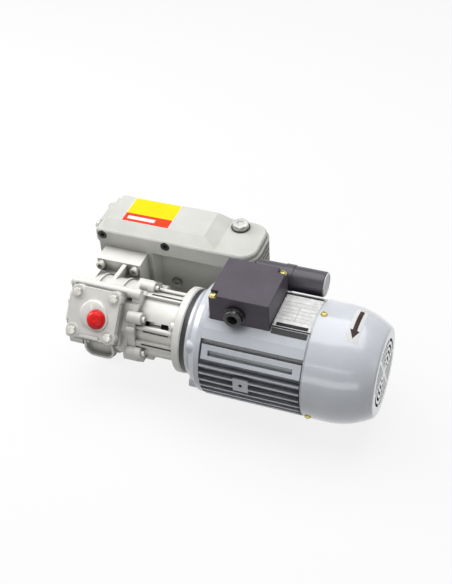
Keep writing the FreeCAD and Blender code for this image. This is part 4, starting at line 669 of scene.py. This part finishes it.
def cross_head(wide, tall):
    """A brass pan head with a cross recess, on a thin washer."""
    radius, foot = wide / 2, 0.5
    crown = [(1.0, 0.45), (0.88, 0.72), (0.6, 0.92), (0.3, 1.0), (0, 1.0)]
    pan = [(0, foot), (radius, foot)] + [(radius * out, tall * up) for out, up in crown]
    head = turned("head", pan, steps=36)
    long, narrow, bottom, above = radius * 0.58, radius * 0.11, tall * 0.5, tall * 2
    across = block("across", (-long, -narrow, bottom), (long, narrow, above))
    along = block("along", (-narrow, -long, bottom), (narrow, long, above))
    shape_with(head, across)
    shape_with(head, along)
    return join(head, disc("ring", radius * 1.28, thick=0.55, lip=0.15, steps=36))


def plug_head(flats, tall, collar=1.5):
    """A screwed plug: hexagon on a round collar, hollowed on top."""
    head = prism("head", flats, collar * 0.5, tall)
    cone_off(head, flats, tall, slope=flats * 0.16, face=flats * 0.47)
    bottom, above, narrow, wide = tall - 1.6, tall + 1, flats * 0.22, flats * 0.27
    well = turned("well", [(0, bottom), (narrow, bottom), (wide, above), (0, above)], steps=40)
    shape_with(head, well)
    soften(head, 0.2, angle=30)
    return join(head, disc("ring", flats * 0.56, collar, lip=0.3))


def ring_of(count, start, x, radius, out, drop=0.0):
    """Even places round the shaft or the bore, from a first angle in degrees."""
    step = 360 / count
    return [(round_shaft(x, radius, start + step * k, drop), out) for k in range(count)]


def flange_bolt_places():
    """The four corners of the inlet flange."""
    face = FLANGE_FOOT + FLANGE_THICK
    signs = (-1, 1)
    return [(inlet_point(FLANGE_X + a * FLANGE_BOLT, b * FLANGE_BOLT, face), INLET_OUT)
            for a in signs for b in signs]


def exhaust_bolt_places(edge_in=10, cover_thick=6):
    """The corners of the exhaust cover and the middles of its long sides."""
    low, high = corners("exhaust_cover")
    columns = (low.y + edge_in, high.y - edge_in)
    rows = (low.z + edge_in, (low.z + high.z) / 2, high.z - edge_in)
    face = high.x - cover_thick
    return [(shaft_point(face, y, z), LEFT) for y in columns for z in rows]


def foot_screw_places(half_long=26, half_tall=40):
    """Two screws at each end of the cylinder's feet, on their front face."""
    middle = centre("cylinder_screws")
    face = corners("cylinder_screws")[0].y + FOOT_SCREW[1]
    columns = (middle.x - half_long, middle.x + half_long)
    rows = (middle.z + half_tall, middle.z - half_tall)
    return [(shaft_point(x, face, z), FRONT) for x in columns for z in rows]


def band_screw_places(half_long=48.5, sunk=6.5):
    """The two screws sunk in the band of the separator box."""
    middle = centre("band_screws")
    seat = BOX_LOW.y + sunk
    return [(shaft_point(middle.x + side * half_long, seat, middle.z), FRONT) for side in (-1, 1)]


def cover_screw_places(start=90):
    """Three screws round the rim of the fan cover."""
    radius = corners("fan_cover")[1].y
    x = centre("fan_cover_screws").x
    angles = [start + 120 * k for k in range(3)]
    return [(round_shaft(x, radius, angle), outwards(angle)) for angle in angles]


def lid_screw_places(notch_half=5.5, notch_deep=5):
    """Two opposite corners of the terminal box's lid, in their notches."""
    low, high = corners("terminal_box_lid")
    seat = high.z - notch_deep
    return [(shaft_point(low.x + notch_half, low.y + notch_half, seat), UP),
            (shaft_point(high.x - notch_half, high.y - notch_half, seat), UP)]


def build_fasteners():
    """Every screw and bolt that can be seen, in place of its plain solid."""
    bolt = hex_head(*HEX_BOLT)
    left_face = corners("left_end_cover")[0].x
    foot_face, flange_back = LANTERN_LOW.x + LANTERN_FOOT, LANTERN_HIGH.x - LANTERN_FLANGE
    sets = (
        (bolt, flange_bolt_places(), "inlet_bolts", PLATED, "inlet_flange_bolts"),
        (bolt, ring_of(count=6, start=55, x=left_face, radius=44.5, out=LEFT, drop=BORE_DROP),
         "left_cover_bolts", PLATED, "end_cover_screws"),
        (bolt, exhaust_bolt_places(), "exhaust_cover_bolts", PLATED, "exhaust_cover_screws"),
        (socket_head(*LANTERN_SCREW), ring_of(count=6, start=45, x=foot_face, radius=52, out=RIGHT),
         "lantern_bolts", PLATED, "lantern_screws"),
        (socket_head(*MOTOR_SCREW), ring_of(count=4, start=45, x=flange_back, radius=50, out=LEFT),
         "motor_flange_bolts", PLATED, "motor_flange_screws"),
        (socket_head(*FOOT_SCREW), foot_screw_places(), "foot_bolts", PLATED, "cylinder_screws"),
        (socket_head(*BAND_SCREW), band_screw_places(), "band_bolts", BLACKENED, "band_screws"),
        (cross_head(*COVER_SCREW), cover_screw_places(),
         "fan_cover_brass_screws", BRASS, "fan_cover_screws"),
        (cross_head(*LID_SCREW), lid_screw_places(), "lid_brass_screws", BRASS, "lid_screws"),
    )
    for model, places, name, material, node in sets:
        spread_out(model, places, name, material, node)
    for model in dict.fromkeys(entry[0] for entry in sets):
        bpy.data.objects.remove(model)


# Plugs, sight glass and ports


def build_plugs(rib_proud=3.5, wall_back=13):
    """Filler plug, wall plug, drain plug and sight glass, on the box's deck, front wall and end wall."""
    hole, washer_top = centre("filler_washer"), corners("filler_washer")[1].z
    plug = seated(plug_head(*FILLER_PLUG), shaft_point(hole.x, hole.y, washer_top), UP, turn=0.2)
    finish(plug, "filler_hex_plug", "filler_plug", NICKEL)
    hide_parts("filler_plug")
    hole = centre("wall_plug")
    front_wall = BOX_LOW.y + wall_back
    wall = seated(plug_head(*WALL_PLUG), shaft_point(hole.x, front_wall, hole.z), FRONT, turn=0.3)
    finish(wall, "wall_hex_plug", "housing", SHADED_PLUG_STEEL)
    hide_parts("wall_plug")
    hole = centre("drain_plug")
    end_wall = BOX_HIGH.x - rib_proud
    drain = seated(plug_head(*DRAIN_PLUG), shaft_point(end_wall, hole.y, hole.z), RIGHT, turn=0.1)
    finish(drain, "drain_hex_plug", "housing", PLATED)
    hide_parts("drain_plug")
    build_sight_glass(shaft_point(end_wall, SIGHT_GLASS.y, SIGHT_GLASS.z))


def build_sight_glass(place):
    """The sight glass: a stepped bezel with its domed window."""
    bezel = turned("bezel", [(8.4, 0), (12, 0), (12, 2), (11.4, 2.4), (11.4, 5.4), (10.8, 6),
                             (9.2, 6), (8.4, 4.6), (8.4, 0)])
    window = turned("window", [(0, 3), (8.6, 3), (8.6, 3.6), (7.5, 4.3), (4, 4.7), (0, 4.8)])
    finish(seated(bezel, place, RIGHT), "sight_bezel", "housing", PLATED)
    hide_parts("sight_glass")
    finish(seated(window, place, RIGHT), "sight_window", "housing", OIL_WINDOW)


def thread_ring(radius, deep, pitch=1.8, wall=0.2):
    """The crests of a pipe thread along a bore, from its mouth inwards."""
    count = int(deep / pitch)
    end = -count * pitch
    outline = []
    for k in range(count):
        outline += [(radius, -k * pitch), (radius - pitch / 2, -(k + 0.5) * pitch)]
    outline += [(radius, end), (radius + wall, end), (radius + wall, 0), (radius, 0)]
    return turned("thread", outline, steps=64)


def build_inlet_plate():
    """The inlet flange: bolt bosses, a hub about its middle, a collar round the port, a raised bar."""
    half, top, under = 35, PORT_TALL, FLANGE_THICK - 0.5
    slab = block("slab", (-half, -half, 0), (half, half, under))
    boss = disc("boss", 10.4, FLANGE_THICK, lip=0.8)
    for a in (-FLANGE_BOLT, FLANGE_BOLT):
        for b in (-FLANGE_BOLT, FLANGE_BOLT):
            shape_with(slab, shifted(twin_of(boss), a, b), "UNION")
    bpy.data.objects.remove(boss)
    hub = turned("hub", [(0, 9), (21.5, 9), (21.5, under), (19.4, 11.8), (18.4, 13.4),
                         (17.4, top), (0, top)], steps=72)
    collar = turned("collar", [(0, 8), (16.6, 8), (16.6, 11.5), (15.6, 13.6), (15.2, top),
                               (0, top)], steps=64)
    bar = block("bar", (-15.5, -33.2, 10), (13.5, -29.2, 12.7))
    for tool in (hub, shifted(collar, PORT_RIGHT, PORT_UP), bar):
        shape_with(slab, tool, "UNION")
    mouth, ledge = 13.4, 9
    port = turned("port", [(0, -1), (PORT_RADIUS, -1), (PORT_RADIUS, ledge), (mouth, ledge),
                           (mouth, top + 1), (0, top + 1)], steps=64)
    shape_with(slab, shifted(port, PORT_RIGHT, PORT_UP))
    soften(slab, 0.5, segments=3, angle=32)
    seated(slab, inlet_point(FLANGE_X, 0, FLANGE_FOOT), INLET_OUT)
    finish(slab, "inlet_cover_plate", "housing", SILVER)
    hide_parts("inlet_flange")


def red_cap():
    """The domed plastic cap over the port, with a dimple on top and a rim round its skirt."""
    rim, wall, skirt, dome, tall = 13.2, 2, -4, 11.2, 4.6
    arch = [(dome * sin(radians(a)) ** 0.9, 3.4 + tall * cos(radians(a))) for a in range(20, 91, 10)]
    inner = rim - wall
    outline = [(0, 7.3), (2.0, 7.35), (2.6, 7.9)] + arch
    outline += [(rim - 0.6, 2.6), (rim - 0.1, 1.6), (rim, 0.6), (rim, skirt), (inner, skirt)]
    outline += [(inner, 4), (0, 4)]
    return turned("cap", outline, steps=64)


def build_ports():
    """The threads of inlet and outlet, and the red cap."""
    port_x = FLANGE_X + PORT_RIGHT
    port_top = FLANGE_FOOT + PORT_TALL
    thread, entry, outlet_z = PORT_RADIUS - 0.1, 5.5, 36
    inlet_place = inlet_point(port_x, PORT_UP, port_top - entry)
    inlet = seated(thread_ring(thread, deep=7), inlet_place, INLET_OUT)
    finish(inlet, "inlet_thread", "housing", GROUND)
    outlet_mouth = corners("exhaust_cover")[0].x + 0.5
    outlet_place = shaft_point(outlet_mouth, centre("exhaust_cover").y, outlet_z)
    outlet = seated(thread_ring(thread, deep=12), outlet_place, LEFT)
    finish(outlet, "outlet_thread", "housing", GROUND)
    cap = seated(red_cap(), inlet_point(port_x, PORT_UP, port_top), INLET_OUT)
    finish(cap, "red_port_cap", "inlet_cap", RED_PLASTIC, smooth=50)
    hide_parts("inlet_cap")


# Trim of pump and motor


def build_joint_ring():
    """The dark ring of the motor's joint, with a lip on the shield's cone that widens the dark band: painted shade
    of the joint's shaded gap.
    """
    inner = 40
    # The lip past the ring lies on the shield's cone as painted shade of the gap
    ring = turned("ring", [(inner, 0.05), (58.4, 0.05), (58.9, 3.9), (60.5, 7.1), (60.06, 7.1),
                           (58.53, 4.02), (inner, 3.95), (inner, 0.05)], steps=96)
    seated(ring, shaft_point(0, 0, 0), RIGHT)
    finish(ring, "joint_ring_with_shade_lip", "housing", BLACK_PAINT)
    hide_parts("flange_ring")


def build_cover_boss():
    """The raised boss in the middle of the left end cover, with a shallow centre."""
    foot, radius, floor, dimple = -1, 19.5, 0.9, 0.2
    boss = turned("boss", [(0, foot), (radius, foot), (radius, 0.2), (18.4, 1.4), (17.9, 1.6),
                           (15.6, 1.6), (14.8, floor), (3.4, floor), (2.2, dimple), (0, dimple)], steps=72)
    left_face = corners("left_end_cover")[0].x
    seated(boss, shaft_point(left_face, 0, -BORE_DROP), LEFT)
    finish(boss, "left_cover_boss", "housing", SILVER)


def build_back_ribs(middle=-70, half_long=96, half_wide=2.4):
    """Four shallow ribs that stiffen the back of the separator box."""
    rib = block("rib", (-half_long, -half_wide, -2), (half_long, half_wide, 1.2))
    open_up(rib)
    choose(rib, "FACE", lambda f: f.normal.z > 0.9)
    bpy.ops.transform.resize(value=(0.985, 0.6, 1), center_override=(0, 0, 0))
    put_down()
    soften(rib, 0.4, angle=20)
    ribs = []
    for level in range(-58, 45, 34):
        facing_back = Matrix.Rotation(radians(-90), 4, "X") @ Matrix.Scale(MM, 4)
        twin = twin_of(rib)
        twin.data.transform(Matrix.Translation(shaft_point(middle, BOX_HIGH.y, level)) @ facing_back)
        ribs.append(twin)
    bpy.data.objects.remove(rib)
    finish(join(*ribs), "back_ribs", "housing", BOX_PAINT)


def build_gland(sides=72, flute=6, groove=2):
    """The gland's fluted nut with its rounded lip, in place of the plain nut."""
    bore, foot, rim = 6.6, 0.1, 12.9
    nut = turned("nut", [(bore, 8), (7.6, 9), (10.2, 9), (11.8, 8.2), (12.6, 6.6), (12.6, 1.2),
                         (rim, 0.9), (rim, foot), (10.7, foot), (10.7, 6.8), (bore, 7.2), (bore, 8)],
                 sides)

    def in_groove(face):
        middle = face.calc_center_median().xy
        if abs(face.normal.z) > 0.1 or middle.length < 12 or face.calc_area() < 3:
            return False
        side = int((pi + middle.angle_signed(Vector((1, 0)))) / (2 * pi / sides))
        return side % flute < groove

    open_up(nut)
    choose(nut, "FACE", in_groove)
    bpy.ops.mesh.inset(thickness=0.15, depth=-0.7)
    put_down()
    middle, back = centre("gland_nut"), corners("gland_nut")[1].y
    seated(nut, shaft_point(middle.x, back, middle.z), FRONT)
    finish(nut, "gland_ribbed_nut", "housing", GLOSSY_PLASTIC, smooth=40)
    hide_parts("gland_nut")


def build_capacitor_end():
    """The pale end disc of the run capacitor, with its raised rim."""
    radius, rim, floor = 15.9, 1.5, 0.9
    end = turned("disc", [(0, 0), (radius, 0), (radius, 1.0), (15.3, rim), (14.3, rim),
                          (13.7, floor), (4.4, floor), (4.0, 1.2), (0, 1.2)], steps=64)
    middle, face = centre("capacitor"), corners("capacitor")[1].x
    seated(end, shaft_point(face, middle.y, middle.z), RIGHT)
    finish(end, "capacitor_end_disc", "housing", PALE_PLASTIC)


# Labels, drawn in millimetres from the shaft's joint


def build_deck_label():
    """The two-colour label on the separator's deck, with its words left off."""
    left, right, near, far, border = -150, -77, 103.6, 160, 0.9
    bar_left, bar_right, bar_near, bar_far, split = -143.5, -101.5, 110.2, 117.2, 123.2
    inks = (WHITE_INK, YELLOW_INK, RED_INK)
    white, yellow, red = range(3)
    label = plate("label", (left, near), (right, far), corner=1.2)
    left, right, near, far = left + border, right - border, near + border, far - border
    rule(label, "x", (left, bar_left, bar_right, right))
    rule(label, "y", (near, bar_near, bar_far, split, far))

    def field(x, y):
        if not (left < x < right and near < y < far):
            return white
        if y > split:
            return yellow
        return white if bar_left < x < bar_right and bar_near < y < bar_far else red

    ink(label, inks, field)
    thicken(label, 0.2)
    finish(laid(label, BOX_HIGH.z), "deck_label", "housing")


def build_nameplate():
    """The bare nameplate on the motor's deck, without words, its rivets and the dark strips of painted shade
    beside it.
    """
    left, right, half, thick = 123, 174.3, 33.6, 0.8
    field_left, field_right, hair = 127.5, 170, 0.5
    edge, bar_near, bar_far = 31.6, -30.6, -24
    column, column_near, column_far = 148, -17, 11
    rows = range(-17, 19, 7)
    metal, black, grey = range(3)
    deck = corners("motor_frame")[1].z
    sheet = plate("sheet", (left, -half), (right, half), corner=1.5)
    lines = [-edge, bar_near, bar_far, edge] + [row + end for row in rows for end in (0, hair)]
    rule(sheet, "y", sorted(lines))
    rule(sheet, "x", (field_left, column, column + hair, field_right))

    def field(x, y):
        if abs(y) > edge:
            return black
        if not field_left < x < field_right:
            return metal
        if bar_near < y < bar_far:
            return black
        on_column = column < x < column + hair and column_near < y < column_far
        return grey if on_column or any(row < y < row + hair for row in rows) else metal

    ink(sheet, (PLATE_METAL, BLACK_INK, GREY_INK), field)
    thicken(sheet, thick)
    finish(laid(sheet, deck), "motor_nameplate", "housing")
    rivet = turned("rivet", [(0, 0), (1.7, 0), (1.6, 0.5), (1.1, 0.95), (0.5, 1.1), (0, 1.15)], steps=24)
    places = [(shaft_point(x, y, deck + thick), UP) for x in (125.2, 172.2) for y in (-27.2, 27.2)]
    spread_out(rivet, places, "nameplate_rivets", PLATED)
    bpy.data.objects.remove(rivet)
    # Dark strips laid on the frame along the deck's edges: painted shade of the shadowed grooves beside the plate
    for name, near, far in (("near_strip", -41, -34.6), ("far_strip", 34.6, 41)):
        strip = plate(name, (124, near), (172, far), corner=0.5)
        wrap_down(strip, "motor_frame", lift=0.05, thick=0.4)
        finish(strip, "nameplate_" + name, "housing", BLACK_PAINT)


def flat_arrow(x, tail, neck, tip, wide, barb=2.2, shoulder=0.4):
    """A flat arrow along the y axis, pushed out of a strip from its tail to its tip."""
    put_down()
    bpy.ops.mesh.primitive_plane_add(size=1)
    arrow = started("arrow")
    open_up(arrow)
    bpy.ops.mesh.select_all(action="SELECT")
    bpy.ops.transform.resize(value=(wide, tail - neck, 1), center_override=(0, 0, 0))
    bpy.ops.transform.translate(value=(x, (tail + neck) / 2, 0))
    choose(arrow, "EDGE", lambda e: all(v.co.y < neck + 1 for v in e.verts))
    bpy.ops.mesh.extrude_region_move(TRANSFORM_OT_translate={"value": (0, -shoulder, 0)})
    bpy.ops.transform.resize(value=(barb, 1, 1), center_override=(x, neck - shoulder, 0))
    head = tip - neck + shoulder
    bpy.ops.mesh.extrude_region_move(TRANSFORM_OT_translate={"value": (0, head, 0)})
    bpy.ops.mesh.merge(type="CENTER")
    put_down()
    return arrow


def build_turning_label():
    """The white label round the top of the fan cover, with the arrow of the turning sense."""
    folds = (222, 225, 228, 231, 233)
    left, right, near, far = 219.3, 235.2, -31, 30
    label = plate("label", (left, near), (right, far), corner=0.8)
    rule(label, "x", folds)
    rule(label, "y", range(-29, 30, 2))
    wrap_down(label, "fan_cover", lift=0.05, thick=0.12)
    finish(label, "turning_label", "housing", WHITE_INK)
    arrow = flat_arrow(x=227.4, tail=27, neck=-13, tip=-26, wide=5.6)
    rule(arrow, "x", folds)
    rule(arrow, "y", range(-24, 26, 2))
    wrap_down(arrow, "fan_cover", lift=0.2, thick=0.08)
    finish(arrow, "turning_arrow", "housing", BROWN_INK)


build_fasteners()
build_plugs()
build_inlet_plate()
build_ports()
build_joint_ring()
build_cover_boss()
build_back_ribs()
build_gland()
build_capacitor_end()
build_deck_label()
build_nameplate()
build_turning_label()

# Studio

# Each softbox: its name, its place and target, its size in metres and its power in watts
SOFTBOXES = (
    ("top_softbox", (0.0, 0.3, 1.6), (0.05, 0.1, 0.1), (2.2, 1.7), 28),
    ("front_strip", (0.1, -1.3, 0.8), (0.08, -0.05, 0.1), (1.7, 0.08), 1.2),
    ("low_front_softbox", (0.4, -1.3, 0.16), (0.12, -0.1, 0.08), (1.3, 0.28), 2.4),
    ("left_softbox", (-1.35, 0.1, 0.75), (0.05, -0.05, 0.1), (0.8, 0.8), 12),
    ("right_softbox", (1.5, -0.3, 0.6), (0.2, -0.1, 0.1), (0.7, 0.7), 1.0),
)

# The camera, as fitted to the photograph: focal length in pixels, angles in degrees, and where the
# shaft's joint stands from it in millimetres, to the right, up and away
PHOTO_TALL, FOCAL = 584, 1100.0
AZIMUTH, ELEVATION, ROLL = radians(22.483), radians(40.712), radians(-3.266)
JOINT_RIGHT, JOINT_UP, JOINT_AWAY = -42.431, -53.165, 1512.493
SENSOR = 36


def seen_by_camera(tree):
    """A grey value that is 1 for what the camera sees, straight or in a gloss or a glass."""
    ray = tree.nodes.new("ShaderNodeLightPath")
    value = ray.outputs["Is Camera Ray"]
    for other in ("Is Glossy Ray", "Is Transmission Ray"):
        value = combined(tree, "MAXIMUM", value, ray.outputs[other])
    return value


def mixed_light(tree, factor, first, second):
    """One shader turning into another by a factor, a number or a grey value."""
    made = tree.nodes.new("ShaderNodeMixShader")
    if isinstance(factor, float):
        made.inputs["Fac"].default_value = factor
    else:
        tree.links.new(factor, made.inputs["Fac"])
    tree.links.new(first, made.inputs[1])
    tree.links.new(second, made.inputs[2])
    return made.outputs[0]


def coloured(tree, kind, color):
    """A diffuse, emission or background node of one colour."""
    made = tree.nodes.new(kind)
    made.inputs["Color"].default_value = (*color, 1)
    return made


def build_floor():
    """A floor that the camera sees white with the object's soft shadow on it."""
    bpy.ops.mesh.primitive_plane_add(size=30, location=(0, 0, 0))
    floor = started("studio_floor")
    made = bpy.data.materials.new("studio_floor_white")
    made.use_nodes = True
    tree = made.node_tree
    tree.nodes.remove(tree.nodes["Principled BSDF"])
    matt = coloured(tree, "ShaderNodeBsdfDiffuse", (0.18, 0.18, 0.18))
    white = coloured(tree, "ShaderNodeBsdfDiffuse", (0.95, 0.95, 0.95))
    glow = coloured(tree, "ShaderNodeEmission", (1, 1, 1))
    glow_share = 0.84
    shown = mixed_light(tree, glow_share, white.outputs[0], glow.outputs[0])
    whole = mixed_light(tree, seen_by_camera(tree), matt.outputs[0], shown)
    tree.links.new(whole, tree.nodes["Material Output"].inputs["Surface"])
    floor.data.materials.append(made)


def build_world():
    """A soft pale sky that lights a little and shows white to the camera."""
    world = bpy.data.worlds.new("studio_world")
    bpy.context.scene.world = world
    world.use_nodes = True
    tree = world.node_tree
    tree.nodes.clear()
    light = coloured(tree, "ShaderNodeBackground", (0.95, 0.97, 1.0))
    light.inputs["Strength"].default_value = 0.04
    white = coloured(tree, "ShaderNodeBackground", (1, 1, 1))
    out = tree.nodes.new("ShaderNodeOutputWorld")
    sky = mixed_light(tree, seen_by_camera(tree), light.outputs[0], white.outputs[0])
    tree.links.new(sky, out.inputs["Surface"])


def softbox(name, place, target, size, power):
    """A rectangular area lamp that looks at a point."""
    lamp = bpy.data.lights.new(name, "AREA")
    lamp.shape = "RECTANGLE"
    lamp.size, lamp.size_y = size
    lamp.energy = power
    holder = bpy.data.objects.new(name, lamp)
    bpy.context.scene.collection.objects.link(holder)
    holder.location = place
    holder.rotation_euler = (Vector(target) - Vector(place)).to_track_quat("-Z", "Y").to_euler()


def build_camera():
    """The photograph's view, from above at the front right."""
    right = Vector((cos(AZIMUTH), sin(AZIMUTH), 0))
    back = Vector((sin(AZIMUTH) * cos(ELEVATION), -cos(AZIMUTH) * cos(ELEVATION), sin(ELEVATION)))
    up = back.cross(right)
    side = right * cos(ROLL) + up * sin(ROLL)
    top = up * cos(ROLL) - right * sin(ROLL)
    place = SHAFT + (back * JOINT_AWAY - side * JOINT_RIGHT - top * JOINT_UP) * MM
    data = bpy.data.cameras.new("photo_camera")
    data.sensor_width = SENSOR
    data.lens = FOCAL / PHOTO_TALL * SENSOR
    data.clip_start = 0.05
    camera = bpy.data.objects.new("photo_camera", data)
    bpy.context.scene.collection.objects.link(camera)
    facing = Matrix((side, top, back)).transposed().to_4x4()
    camera.matrix_world = Matrix.Translation(place) @ facing
    bpy.context.scene.camera = camera


put_down()
build_floor()
build_world()
for box in SOFTBOXES:
    softbox(*box)
build_camera()
bpy.context.scene.view_settings.view_transform = "Standard"
